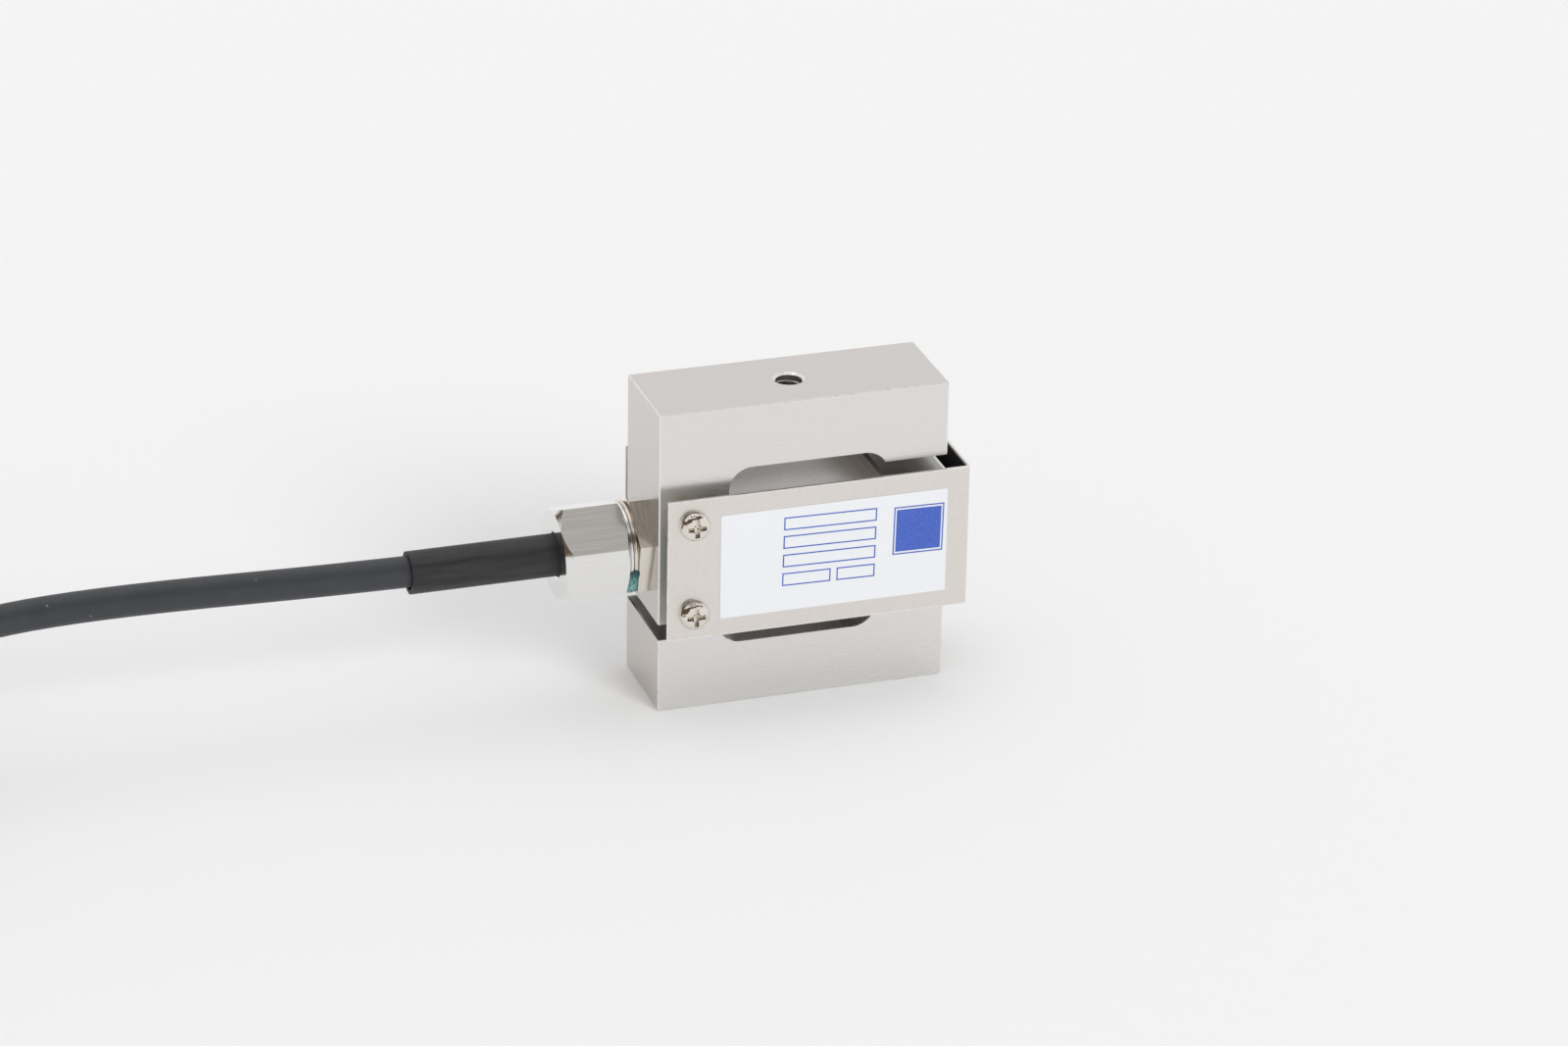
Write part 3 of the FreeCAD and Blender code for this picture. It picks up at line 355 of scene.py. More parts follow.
def thread_ridge(start, way):
    """The ridge of a right-handed thread: a helix with a three-sided section, thin at both ends.
    The section's corners are pairs, a height in pitches and a share of the thread's depth, which
    grows from almost nothing over the first two thirds of a turn and shrinks again at the end."""
    turns = THREAD_LENGTH / THREAD_PITCH
    share = np.linspace(0, 1, int(turns * THREAD_STEPS) + 1)
    angle = 2 * math.pi * turns * share
    height = start + way * THREAD_LENGTH * share
    depth = (THREAD_ROOT - THREAD_CREST) * np.clip(np.minimum(share, 1 - share) * turns * 1.5, 0.03, 1)
    side, inward = np.array(THREAD_SECTION).T
    radius = THREAD_ROOT - depth[:, None] * inward
    points = np.stack([radius * np.cos(angle)[:, None], way * radius * np.sin(angle)[:, None],
                       height[:, None] + side * THREAD_PITCH], -1)
    count = len(share)
    first, row = np.arange(count - 1)[:, None] * 3, np.arange(3)
    quads = np.stack([first + row, first + (row + 1) % 3, first + 3 + (row + 1) % 3, first + 3 + row], -1)
    ends = [(0, 1, 2), (3 * count - 1, 3 * count - 2, 3 * count - 3)]
    return points.reshape(-1, 3), quads.reshape(-1, 4).tolist() + ends, 0


block_low, block_high = (np.array(corner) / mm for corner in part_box("s_body"))
down_ridge = thread_ridge(block_high[2] - THREAD_LEAD_IN, -1)
up_ridge = thread_ridge(block_low[2] + THREAD_LEAD_IN, 1)
top_thread = mesh_piece("top_thread", [down_ridge])
bottom_thread = mesh_piece("bottom_thread", [up_ridge])
print("turns of each thread", THREAD_LENGTH / THREAD_PITCH)

# %% Teal torque mark across the gland's two collars
GLAND_AXIS_Z, PAINT_DEPTH, DAB_ROWS, RAGGED_STEP = 30.0, 0.03, 48, 4
DAB_START, DAB_END = np.radians((187, 251))
END_WIDTH, END_GROWTH, RAGGED_SHIFT = 0.35, 6, 4
# Places along the gland's axis and radii just over the two collars, in millimetres.
COLLAR_ALONG = np.array([-33.06, -32.90, -32.72, -32.40, -32.16, -32.08,
                         -31.96, -31.65, -31.36, -31.18, -31.04])
COLLAR_RADII = np.array([8.42, 8.50, 8.56, 8.57, 8.54, 8.60, 8.74, 8.77, 8.75, 8.60, 8.46])
draw = np.random.default_rng(7)


def torque_dab():
    """A ragged dab of paint wrapped on the collars between two angles, seen from the cable's end.
    Each row has its own angle. It runs along the collars' outline, narrower near the dab's two
    ends and shifted by noise, and its under side lies a little nearer to the gland's axis."""
    angles = np.linspace(DAB_START, DAB_END, DAB_ROWS)
    knots = np.arange(0, DAB_ROWS + 1, RAGGED_STEP)
    ragged = np.interp(np.arange(DAB_ROWS), knots, draw.uniform(-0.14, 0.14, len(knots)))
    to_end = np.minimum(angles - angles[0], angles[-1] - angles)
    taper = np.minimum(1.0, END_GROWTH * to_end + END_WIDTH)[:, None]
    steps = np.arange(len(COLLAR_ALONG))
    middle = len(steps) / 2 - 0.5
    reached = middle + (steps - middle) * taper + RAGGED_SHIFT * ragged[:, None]
    along = np.interp(reached, steps, COLLAR_ALONG)
    radius = np.interp(along, COLLAR_ALONG, COLLAR_RADII)
    cosine, sine = np.cos(angles)[:, None], np.sin(angles)[:, None]
    skins = [np.stack([along, reach * cosine, GLAND_AXIS_Z + reach * sine], -1)
             for reach in (radius, radius * (1 - PAINT_DEPTH))]
    return (*patch(*skins), 0)


torque_mark = mesh_piece("torque_mark", [torque_dab()])
print("faces of the torque mark", len(torque_mark.data.polygons))

# %% Drops of the coat near its edge
# Place along the block, place across it and radius, in millimetres.
DROPS = [(-9.5, -4.2, 0.30), (-8.6, -3.7, 0.24), (-7.7, -4.0, 0.20)]
COAT_TOP, DROP_SINK, DROP_ROOT, DROP_RISE, DROP_SIDES = 39.4, 0.02, 0.05, 0.9, 12
DROP_BANDS = np.radians([0, 25, 50, 72])


def drop(place_x, place_y, radius):
    """A low round drop that sits on the coat: rings at four angles up a flattened sphere, a
    point on top, and one under its foot."""
    angle = np.arange(DROP_SIDES) * 2 * math.pi / DROP_SIDES
    up = DROP_BANDS[:, None]
    foot = COAT_TOP - DROP_SINK
    rings = np.stack(np.broadcast_arrays(place_x + radius * np.cos(up) * np.cos(angle),
                                         place_y + radius * np.cos(up) * np.sin(angle),
                                         foot + DROP_RISE * radius * np.sin(up)), -1).reshape(-1, 3)
    ends = [(place_x, place_y, foot + DROP_RISE * radius), (place_x, place_y, COAT_TOP - DROP_ROOT)]
    row, after = np.arange(DROP_SIDES), (np.arange(DROP_SIDES) + 1) % DROP_SIDES
    first = np.arange(len(DROP_BANDS) - 1)[:, None] * DROP_SIDES
    quads = np.stack([first + row, first + after, first + after + DROP_SIDES, first + row + DROP_SIDES], -1)
    top, under, last = len(rings), len(rings) + 1, len(rings) - DROP_SIDES
    caps = np.vstack([np.stack([last + row, last + after, 0 * row + top], 1),
                      np.stack([after, row, 0 * row + under], 1)])
    return np.vstack([rings, ends]), quads.reshape(-1, 4).tolist() + caps.tolist(), 0


coat_drops = mesh_piece("coat_drops", [drop(*place) for place in DROPS])
print("drops", len(DROPS))

# %% [markdown]
# ## Floor, lamps and surroundings
#
# The cell stands on a plain white sheet. A large soft lamp hangs above and behind it, and an even
# light comes from the front right. That one is a sun with a wide angle, because a sun lights the
# whole sheet alike, where a near lamp would leave a bright pool on it. The metal shows what
# stands round it, so the surroundings matter as much as the lamps: pale near the floor, with a
# darker, brownish room higher up on the camera's side.

# %% Helpers that make nodes


def add(tree, kind, inputs=None, **settings):
    """Adds a node, sets its options, and fills its sockets with values or with links."""
    made = tree.nodes.new(kind)
    for name, setting in settings.items():
        setattr(made, name, setting)
    for key, given in (inputs or {}).items():
        if isinstance(given, bpy.types.NodeSocket):
            tree.links.new(given, made.inputs[key])
        else:
            made.inputs[key].default_value = given
    return made


def calc(tree, operation, *given, clamp=False):
    """One Math node: the operation on up to three numbers or sockets."""
    made = add(tree, "ShaderNodeMath", dict(enumerate(given)), operation=operation)
    made.use_clamp = clamp
    return made.outputs[0]


def ease(tree, value, start, end, low=0.0, high=1.0):
    """Smoothly from low to high as the value goes from start to end."""
    made = add(tree, "ShaderNodeMapRange", {"Value": value, "From Min": start, "From Max": end,
                                            "To Min": low, "To Max": high},
               interpolation_type="SMOOTHSTEP")
    return made.outputs["Result"]


def mix(tree, share, first, second):
    """A colour between two colours."""
    made = add(tree, "ShaderNodeMix", {0: share, 6: first, 7: second}, data_type="RGBA")
    return made.outputs[2]


def between(tree, share, first, second):
    """A number between two numbers."""
    return add(tree, "ShaderNodeMix", {0: share, 2: first, 3: second}, data_type="FLOAT").outputs[0]


def shade(red, green, blue):
    """A colour with full alpha."""
    return (red, green, blue, 1.0)


# %% Floor
FLOOR_REACH, FLOOR_GAP = 12.0, 0.00005
floor_mesh = bpy.data.meshes.new("floor")
reach, ground = FLOOR_REACH, cad_box[0].z - FLOOR_GAP
floor_mesh.from_pydata([(-reach, -reach, ground), (reach, -reach, ground),
                        (reach, reach, ground), (-reach, reach, ground)], [], [(0, 1, 2, 3)])
floor = bpy.data.objects.new("floor", floor_mesh)
bpy.context.scene.collection.objects.link(floor)
paper = bpy.data.materials.new("paper")
paper.use_nodes = True
sheet = paper.node_tree.nodes["Principled BSDF"]
sheet.inputs["Base Color"].default_value = shade(0.885, 0.885, 0.885)
sheet.inputs["Roughness"].default_value = 0.85
sheet.inputs["Specular IOR Level"].default_value = 0.15
floor_mesh.materials.append(paper)
print("floor reaches", FLOOR_REACH, "m each way")

# %% Lamps


def aimed_lamp(name, kind, place, aim, power):
    """A lamp of one kind that shines from a place towards its aim and isn't seen itself."""
    lamp = bpy.data.objects.new(name, bpy.data.lights.new(name, kind))
    lamp.data.energy = power
    lamp.location = place
    lamp.rotation_euler = (Vector(aim) - Vector(place)).to_track_quat("-Z", "Y").to_euler()
    lamp.visible_camera = False
    bpy.context.scene.collection.objects.link(lamp)
    return lamp


lamp_above = aimed_lamp("lamp_above", "AREA", (0.12, 0.55, 2.10), (-0.02, 0, 0), 3.9)
lamp_above.data.shape, lamp_above.data.size = "SQUARE", 1.50
lamp_front = aimed_lamp("lamp_front", "SUN", (0.75, -2.15, 1.45), (-0.02, 0, 0.02), 1.12)
lamp_front.data.angle = math.radians(23)
lamp_front.visible_glossy = False
print("lamps", lamp_above.name, lamp_front.name)

# %% Surroundings that the metal mirrors
world = bpy.data.worlds.new("studio")
bpy.context.scene.world = world
world.use_nodes = True
sky = world.node_tree
sky.nodes.clear()
direction = add(sky, "ShaderNodeSeparateXYZ",
                {0: add(sky, "ShaderNodeTexCoord").outputs["Generated"]}).outputs
PALE_WALL, DARK_WALL, DOORWAY = shade(0.92, 0.92, 0.92), shade(0.10, 0.085, 0.075), shade(0.13, 0.085, 0.055)
# The dark room stands on the near side, and its lower edge rises from the left to the right.
near_side = ease(sky, direction["Y"], -0.05, -0.45)
dark_from = ease(sky, direction["X"], -0.6, 0.1, 0.08, 0.42)
band = calc(sky, "MULTIPLY", ease(sky, direction["Z"], dark_from, calc(sky, "ADD", dark_from, 0.12)),
            ease(sky, direction["Z"], 0.84, 0.74))
room = mix(sky, calc(sky, "MULTIPLY", band, near_side), PALE_WALL, DARK_WALL)
# A brown doorway on the left gives the nut's bevel and the collars their dark places.
door_height = calc(sky, "MULTIPLY", ease(sky, direction["Z"], 0.005, 0.03),
                   ease(sky, direction["Z"], 0.52, 0.42))
doorway = calc(sky, "MULTIPLY", ease(sky, direction["X"], -0.46, -0.56), door_height)
room = mix(sky, doorway, room, DOORWAY)
# The ceiling over the near side is grey, and darker towards the left.
overhead = calc(sky, "MULTIPLY", ease(sky, direction["Z"], 0.88, 0.93),
                ease(sky, direction["Y"], 0.10, -0.10))
ceiling = mix(sky, ease(sky, direction["X"], 0.15, -0.15), shade(0.46, 0.445, 0.43), shade(0.16, 0.145, 0.13))
seen_colour = mix(sky, overhead, room, ceiling)
seen = add(sky, "ShaderNodeBackground", {"Color": seen_colour, "Strength": 1.0})
print("nodes of the surroundings", len(sky.nodes))

# %% Light that the surroundings give
WALL_LIGHT = (0.70, 1.055)
walls = ease(sky, direction["Z"], 0.62, 0.22, *WALL_LIGHT)
lit = add(sky, "ShaderNodeBackground", {"Color": shade(1, 1, 1), "Strength": walls})
rays = add(sky, "ShaderNodeLightPath").outputs
shown = calc(sky, "MAXIMUM", rays["Is Camera Ray"],
             calc(sky, "MAXIMUM", rays["Is Glossy Ray"], rays["Is Transmission Ray"]))
# A mirror ray that starts from a lit surface carries light, and so it meets the even walls.
shown = calc(sky, "MULTIPLY", shown, calc(sky, "LESS_THAN", rays["Diffuse Depth"], 0.5))
both = add(sky, "ShaderNodeMixShader", {0: shown, 1: lit.outputs[0], 2: seen.outputs[0]})
add(sky, "ShaderNodeOutputWorld", {"Surface": both.outputs[0]})
bpy.context.scene.view_settings.view_transform = "Standard"
print("light of the walls, high and low", WALL_LIGHT)

# %% [markdown]
# ## Effects that several finishes share
#
# Tool marks, brushed grain, rubbed edges with a painted highlight, and dust turn up on more than
# one piece. Each is built once as a node group that puts out a mask or a height, and a finish
# places it with its own values. All of them read the place on the object in metres, so that the
# marks keep their size.

# %% Helper that makes a node group


def effect(name, inputs, outputs):
    """An empty shader node group, with its input node's sockets and a way to set its outputs."""
    tree = bpy.data.node_groups.new(name, "ShaderNodeTree")
    for socket, kind, start in inputs:
        made = tree.interface.new_socket(socket, in_out="INPUT", socket_type=kind)
        if start is not None:
            made.default_value = start
    for socket, kind in outputs:
        tree.interface.new_socket(socket, in_out="OUTPUT", socket_type=kind)
    given = tree.nodes.new("NodeGroupInput").outputs
    ends = tree.nodes.new("NodeGroupOutput").inputs
    print("effect", name, "gives", *(socket for socket, kind in outputs))
    return tree, given, ends


def place_effect(tree, group, **inputs):
    """Places a group in a material; a socket's name is given with _ for each space."""
    made = add(tree, "ShaderNodeGroup", node_tree=group)
    for name, given in inputs.items():
        socket = made.inputs[name.replace("_", " ")]
        if isinstance(given, bpy.types.NodeSocket):
            tree.links.new(given, socket)
        else:
            socket.default_value = given
    return made.outputs


NUMBER, VECTOR = "NodeSocketFloat", "NodeSocketVector"

# %% Marks of a face mill
mill_marks, given, ends = effect(
    "mill_marks",
    [("Position", VECTOR, None), ("Middle", NUMBER, 0.0), ("Radius", NUMBER, 0.07),
     ("Pitch", NUMBER, 0.0005)],
    [("Height", NUMBER)])
# A wide cutter is fed along z. Its teeth leave arcs, one under another: the arc through a point
# is numbered by its height plus the root of the radius squared less the distance from the
# middle squared, over the pitch. The sine of that number is the groove, and noise that runs
# along the same number makes some grooves deeper than others.
part = add(mill_marks, "ShaderNodeSeparateXYZ", {0: given["Position"]}).outputs
offset = calc(mill_marks, "SUBTRACT", part["X"], given["Middle"])
square = calc(mill_marks, "SUBTRACT", calc(mill_marks, "MULTIPLY", given["Radius"], given["Radius"]),
              calc(mill_marks, "MULTIPLY", offset, offset))
arc = calc(mill_marks, "ADD", part["Z"], calc(mill_marks, "SQRT", calc(mill_marks, "MAXIMUM", square, 0.0)))
arc_number = calc(mill_marks, "DIVIDE", arc, given["Pitch"])
groove = calc(mill_marks, "SINE", calc(mill_marks, "MULTIPLY", arc_number, 2 * math.pi))
depth = add(mill_marks, "ShaderNodeTexNoise", {"W": arc_number, "Scale": 0.43, "Detail": 3.0},
            noise_dimensions="1D").outputs[0]
blotch = add(mill_marks, "ShaderNodeTexNoise", {"Vector": given["Position"], "Scale": 90.0}).outputs[0]
height = calc(mill_marks, "MULTIPLY", calc(mill_marks, "MULTIPLY", groove, depth), blotch)
mill_marks.links.new(calc(mill_marks, "MULTIPLY_ADD", height, 1.6, 0.5), ends["Height"])

# %% Grain that runs one way
grain, given, ends = effect(
    "grain", [("Position", VECTOR, None), ("Fineness", VECTOR, (3000, 3000, 60))],
    [("Height", NUMBER)])
# Noise in a space that is squeezed across the grain and stretched along it.
squeezed = add(grain, "ShaderNodeVectorMath", {0: given["Position"], 1: given["Fineness"]},
               operation="MULTIPLY").outputs[0]
fibre = add(grain, "ShaderNodeTexNoise", {"Vector": squeezed, "Scale": 1.0, "Detail": 4.0,
                                          "Roughness": 0.6}).outputs[0]
grain.links.new(ease(grain, fibre, 0.3, 0.7), ends["Height"])

# %% Rubbed edges of a box, with a painted highlight
edge_rub_and_glint, given, ends = effect(
    "edge_rub_and_glint", [("Position", VECTOR, None), ("Low", VECTOR, None), ("High", VECTOR, None),
                 ("Width", NUMBER, 0.0004)], [("Mask", NUMBER)])
# A point's distance to the nearest of a box's two faces is worked out along each axis. On a face
# one of the three is zero, and near an edge the second smallest is small too: it is the sum
# less the largest and the smallest. Noise takes some of the rubbed line away again. The bright
# line is partly rubbed metal and partly a painted highlight, the glint that a sharp edge catches.
from_low = add(edge_rub_and_glint, "ShaderNodeVectorMath", {0: given["Position"], 1: given["Low"]},
               operation="SUBTRACT")
from_high = add(edge_rub_and_glint, "ShaderNodeVectorMath", {0: given["High"], 1: given["Position"]},
                operation="SUBTRACT")
nearer = add(edge_rub_and_glint, "ShaderNodeVectorMath", {0: from_low.outputs[0], 1: from_high.outputs[0]},
             operation="MINIMUM")
gap = add(edge_rub_and_glint, "ShaderNodeSeparateXYZ", {0: nearer.outputs[0]}).outputs
most = calc(edge_rub_and_glint, "MAXIMUM", calc(edge_rub_and_glint, "MAXIMUM", gap[0], gap[1]), gap[2])
least = calc(edge_rub_and_glint, "MINIMUM", calc(edge_rub_and_glint, "MINIMUM", gap[0], gap[1]), gap[2])
total = calc(edge_rub_and_glint, "ADD", calc(edge_rub_and_glint, "ADD", gap[0], gap[1]), gap[2])
second = calc(edge_rub_and_glint, "SUBTRACT", calc(edge_rub_and_glint, "SUBTRACT", total, most), least)
near_edge = calc(edge_rub_and_glint, "SUBTRACT", 1.0, calc(edge_rub_and_glint, "DIVIDE", second, given["Width"]), clamp=True)
nick = add(edge_rub_and_glint, "ShaderNodeTexNoise", {"Vector": given["Position"], "Scale": 900.0,
                                            "Detail": 2.0}).outputs[0]
edge_rub_and_glint.links.new(calc(edge_rub_and_glint, "MULTIPLY", near_edge, ease(edge_rub_and_glint, nick, 0.30, 0.52)), ends["Mask"])

# %% Dust and small specks
specks, given, ends = effect(
    "specks", [("Position", VECTOR, None), ("Spacing", NUMBER, 700.0), ("Share", NUMBER, 0.2),
               ("Size", NUMBER, 0.2)], [("Mask", NUMBER)])
# Voronoi cells: a cell whose random colour is under the share holds a dot of the given size.
cells = add(specks, "ShaderNodeTexVoronoi", {"Vector": given["Position"], "Scale": given["Spacing"]}).outputs
chosen = calc(specks, "LESS_THAN", add(specks, "ShaderNodeSeparateColor", {0: cells["Color"]}).outputs[0],
              given["Share"])
dot = calc(specks, "SUBTRACT", 1.0, calc(specks, "DIVIDE", cells["Distance"], given["Size"]), clamp=True)
specks.links.new(calc(specks, "MULTIPLY", chosen, dot), ends["Mask"])
print("shared effects", [group.name for group in bpy.data.node_groups])

# %% [markdown]
# ## Finishes
#
# Each CAD node gets a material of its own making. A material starts from a base colour,
# roughness and metalness on the Principled shader, and the shared effects then change the
# colour, the roughness and the bump over the surface.

# %% Helpers that make a material


def material(name, colour, roughness, metal=0.0, **constants):
    """A node material: its tree, its shader and the place on the object in metres."""
    made = bpy.data.materials.new(name)
    made.use_nodes = True
    tree = made.node_tree
    shader = tree.nodes["Principled BSDF"]
    settings = {"Base Color": shade(*colour), "Roughness": roughness, "Metallic": metal}
    settings.update({key.replace("_", " "): number for key, number in constants.items()})
    for key, number in settings.items():
        shader.inputs[key].default_value = number
    place = add(tree, "ShaderNodeTexCoord").outputs["Object"]
    return made, tree, shader.inputs, place


def bump(tree, shader, height, depth):
    """Gives the surface a relief of that depth in metres."""
    made = add(tree, "ShaderNodeBump", {"Height": height, "Distance": depth, "Strength": 1.0})
    tree.links.new(made.outputs[0], shader["Normal"])


def vary(tree, socket, share, low, high):
    """Drives a number of the shader between two values."""
    made = add(tree, "ShaderNodeMapRange", {"Value": share, "To Min": low, "To Max": high})
    tree.links.new(made.outputs["Result"], socket)


def noise(tree, place, scale, detail=2.0):
    """Plain noise on the place."""
    return add(tree, "ShaderNodeTexNoise", {"Vector": place, "Scale": scale, "Detail": detail}).outputs[0]


def finish(names, made):
    """Gives a material to CAD nodes or to new pieces."""
    pieces = [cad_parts[name] if isinstance(name, str) else name for name in names]
    for piece in pieces:
        piece.data.materials.clear()
        piece.data.materials.append(made)
    print(made.name, "on", *(piece.name for piece in pieces))


# %% [markdown]
# ### Milled block
#
# The block is bare aluminium. Its wide faces show the arcs of a face mill, its top a fine
# speckle, its narrow ends upright streaks, and the walls of the windows fine lines left by an
# end mill that stood square to the front. One material holds the four looks and chooses between
# them by where a point lies, which needs no seams and no separate pieces.

# %% Places on the block
EDGE_WIDTH, FACE_DEPTH = 0.0004, 0.00003
low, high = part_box("s_body")
milled, tree, shader, place = material("milled_block", (0.80, 0.79, 0.77), 0.24, 1.0)
xyz = add(tree, "ShaderNodeSeparateXYZ", {0: place}).outputs
half_tall = high.z / 2
above_middle = calc(tree, "SUBTRACT", xyz["Z"], half_tall)


def faces_within(depth):
    """Masks of the wide faces, the narrow ends and the level faces, each reaching in by a depth."""
    return [calc(tree, "GREATER_THAN", calc(tree, "ABSOLUTE", offset), reach - depth)
            for offset, reach in ((xyz["Y"], high.y), (xyz["X"], high.x), (above_middle, half_tall))]


wide_face, narrow_end, level = faces_within(FACE_DEPTH)
# The broken edges belong to the outer faces too, so this mask reaches in by their width.
first, second, third = faces_within(EDGE_WIDTH)
outer = calc(tree, "MAXIMUM", calc(tree, "MAXIMUM", first, second), third)
print("the block's faces are told apart to", FACE_DEPTH, "m")

# %% Marks on the block
arcs = place_effect(tree, mill_marks, Position=place, Middle=0.010, Radius=0.075, Pitch=0.00055)["Height"]
streaks = place_effect(tree, grain, Position=place, Fineness=(2500, 2500, 45))["Height"]
wall_lines = place_effect(tree, grain, Position=place, Fineness=(2600, 40, 2600))["Height"]
grit = noise(tree, place, 3200, 2.0)
marks = between(tree, narrow_end, calc(tree, "MULTIPLY", wall_lines, 0.55),
                calc(tree, "MULTIPLY_ADD", streaks, 0.5, 0.25))
marks = between(tree, level, marks, grit)
marks = between(tree, wide_face, marks, calc(tree, "MULTIPLY_ADD", arcs, 0.9, 0.05))
rub_and_glint = place_effect(tree, edge_rub_and_glint, Position=place, Low=low, High=high, Width=EDGE_WIDTH)["Mask"]
print("nodes of the block's finish so far", len(tree.nodes))

# %% Colour, gloss and relief of the block
metal = mix(tree, marks, shade(0.765, 0.75, 0.735), shade(0.805, 0.79, 0.775))
# The narrow ends take a darker, warmer tone, warmest at the foot: painted reflection of the darker room that
# these faces mirror.
shaded_end = mix(tree, ease(tree, xyz["Z"], 0.0, 0.03), shade(0.66, 0.60, 0.56), shade(0.60, 0.575, 0.545))
metal = mix(tree, calc(tree, "MULTIPLY", narrow_end, 0.8), metal, shaded_end)
# The level faces take a darker, browner tone with a fine grit: the grit is real, the darkness is painted
# shade, as light falls mostly from the front.
sanded_and_shaded = mix(tree, ease(tree, grit, 0.3, 0.7), shade(0.59, 0.555, 0.54), shade(0.65, 0.615, 0.60))
metal = mix(tree, calc(tree, "MULTIPLY", level, 0.8), metal, sanded_and_shaded)
# Inside the windows and slots the tone is much darker: painted shade in those recesses, over the end mill's
# lines.
shaded_inner_wall = mix(tree, marks, shade(0.42, 0.41, 0.395), shade(0.56, 0.55, 0.53))
metal = mix(tree, outer, shaded_inner_wall, metal)
# Near the outer edges the colour turns almost white: rubbed metal, and a painted highlight for the glint on
# the edges.
tree.links.new(mix(tree, rub_and_glint, metal, shade(0.92, 0.92, 0.91)), shader["Base Color"])
rough = add(tree, "ShaderNodeMapRange", {"Value": marks, "To Min": 0.22, "To Max": 0.28}).outputs["Result"]
tree.links.new(between(tree, outer, 0.38, rough), shader["Roughness"])
bump(tree, shader, marks, 0.000002)
finish(["s_body"], milled)

# %% [markdown]
# ### Cover, its dark lining and the label
#
# The cover is stainless sheet with a fine satin speckle and a warm tone. Its right wall and its
# back are lined with black film inside, and the inside of its front is bare, dull and grey. The
# label is a glossy white film.

# %% Cover
satin, tree, shader, place = material("satin_sheet", (0.76, 0.72, 0.68), 0.30, 1.0)
brush = place_effect(tree, grain, Position=place, Fineness=(3000, 3000, 1500))["Height"]
cloud = noise(tree, place, 60, 1.0)
tone = mix(tree, brush, shade(0.755, 0.715, 0.675), shade(0.795, 0.755, 0.715))
low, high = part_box("cover")
rub_and_glint = place_effect(tree, edge_rub_and_glint, Position=place, Low=low, High=high, Width=0.0003)["Mask"]
# The inside is duller: grey and matt wherever a point lies deeper than most of the sheet.
SHEET_DEPTH = 0.00045
xyz = add(tree, "ShaderNodeSeparateXYZ", {0: place}).outputs
within = calc(tree, "LESS_THAN", calc(tree, "ABSOLUTE", xyz["Y"]), high.y - SHEET_DEPTH)
within = calc(tree, "MULTIPLY", within, calc(tree, "LESS_THAN", xyz["X"], high.x - SHEET_DEPTH))
# Along the cut edges the colour turns almost white: rubbed sheet, and a painted highlight for their glint.
skin = mix(tree, rub_and_glint, tone, shade(0.93, 0.91, 0.89))
tree.links.new(mix(tree, within, skin, shade(0.76, 0.75, 0.73)), shader["Base Color"])
tree.links.new(calc(tree, "SUBTRACT", 1.0, within), shader["Metallic"])
rough = add(tree, "ShaderNodeMapRange", {"Value": cloud, "To Min": 0.24, "To Max": 0.36}).outputs["Result"]
tree.links.new(between(tree, within, rough, 0.6), shader["Roughness"])
bump(tree, shader, brush, 0.000001)
finish(["cover"], satin)

# %% Lining
film, tree, shader, place = material("black_film", (0.022, 0.020, 0.020), 0.75)
lint = place_effect(tree, specks, Position=place, Spacing=900.0, Share=0.12, Size=0.25)["Mask"]
tree.links.new(mix(tree, lint, shade(0.022, 0.020, 0.020), shade(0.16, 0.15, 0.14)), shader["Base Color"])
bump(tree, shader, noise(tree, place, 2500), 0.00001)
finish(["cover_lining"], film)

# %% Label
white, tree, shader, place = material("label_film", (0.80, 0.81, 0.825), 0.32)
haze = noise(tree, place, 45)
tree.links.new(mix(tree, haze, shade(0.725, 0.74, 0.76), shade(0.745, 0.76, 0.78)), shader["Base Color"])
vary(tree, shader["Roughness"], noise(tree, place, 1500), 0.26, 0.40)
bump(tree, shader, noise(tree, place, 160), 0.00003)
finish(["label"], white)

# %% [markdown]
# ### Screws, gland and other metal
#
# The screws and the gland are nickel plated and polished, so they need little colour and low
# roughness. Small dents in the screw heads break up what they mirror. The nut shows faint lines
# along its length from the bar it was turned from, and the flange is a little warmer.

# %% Screws
plate, tree, shader, place = material("screw_nickel", (0.84, 0.80, 0.745), 0.10, 1.0)
wave = noise(tree, place, 900, 2.0)
tree.links.new(mix(tree, wave, shade(0.70, 0.64, 0.57), shade(0.88, 0.85, 0.80)), shader["Base Color"])
vary(tree, shader["Roughness"], noise(tree, place, 2500), 0.03, 0.09)
bump(tree, shader, wave, 0.00018)
finish(["cover_screws"], plate)

# %% Gland body and nut
nickel, tree, shader, place = material("gland_nickel", (0.82, 0.81, 0.79), 0.12, 1.0)
drawn = place_effect(tree, grain, Position=place, Fineness=(80, 2600, 2600))["Height"]
tree.links.new(mix(tree, drawn, shade(0.81, 0.80, 0.78), shade(0.84, 0.835, 0.82)), shader["Base Color"])
vary(tree, shader["Roughness"], drawn, 0.08, 0.15)
bump(tree, shader, drawn, 0.0000012)
finish(["gland_nut"], nickel)
warm_nickel, tree, shader, place = material("flange_nickel", (0.78, 0.75, 0.71), 0.16, 1.0)
faced = place_effect(tree, grain, Position=place, Fineness=(2400, 300, 300))["Height"]
tree.links.new(mix(tree, faced, shade(0.70, 0.64, 0.57), shade(0.78, 0.73, 0.66)), shader["Base Color"])
vary(tree, shader["Roughness"], faced, 0.12, 0.20)
finish(["gland_body"], warm_nickel)

# %% [markdown]
# ### Sleeve, cable and rubber
#
# The shrunk sleeve is matt black with a slightly pebbled skin. The cable's jacket is smoother,
# blue-black, and has caught some dust.

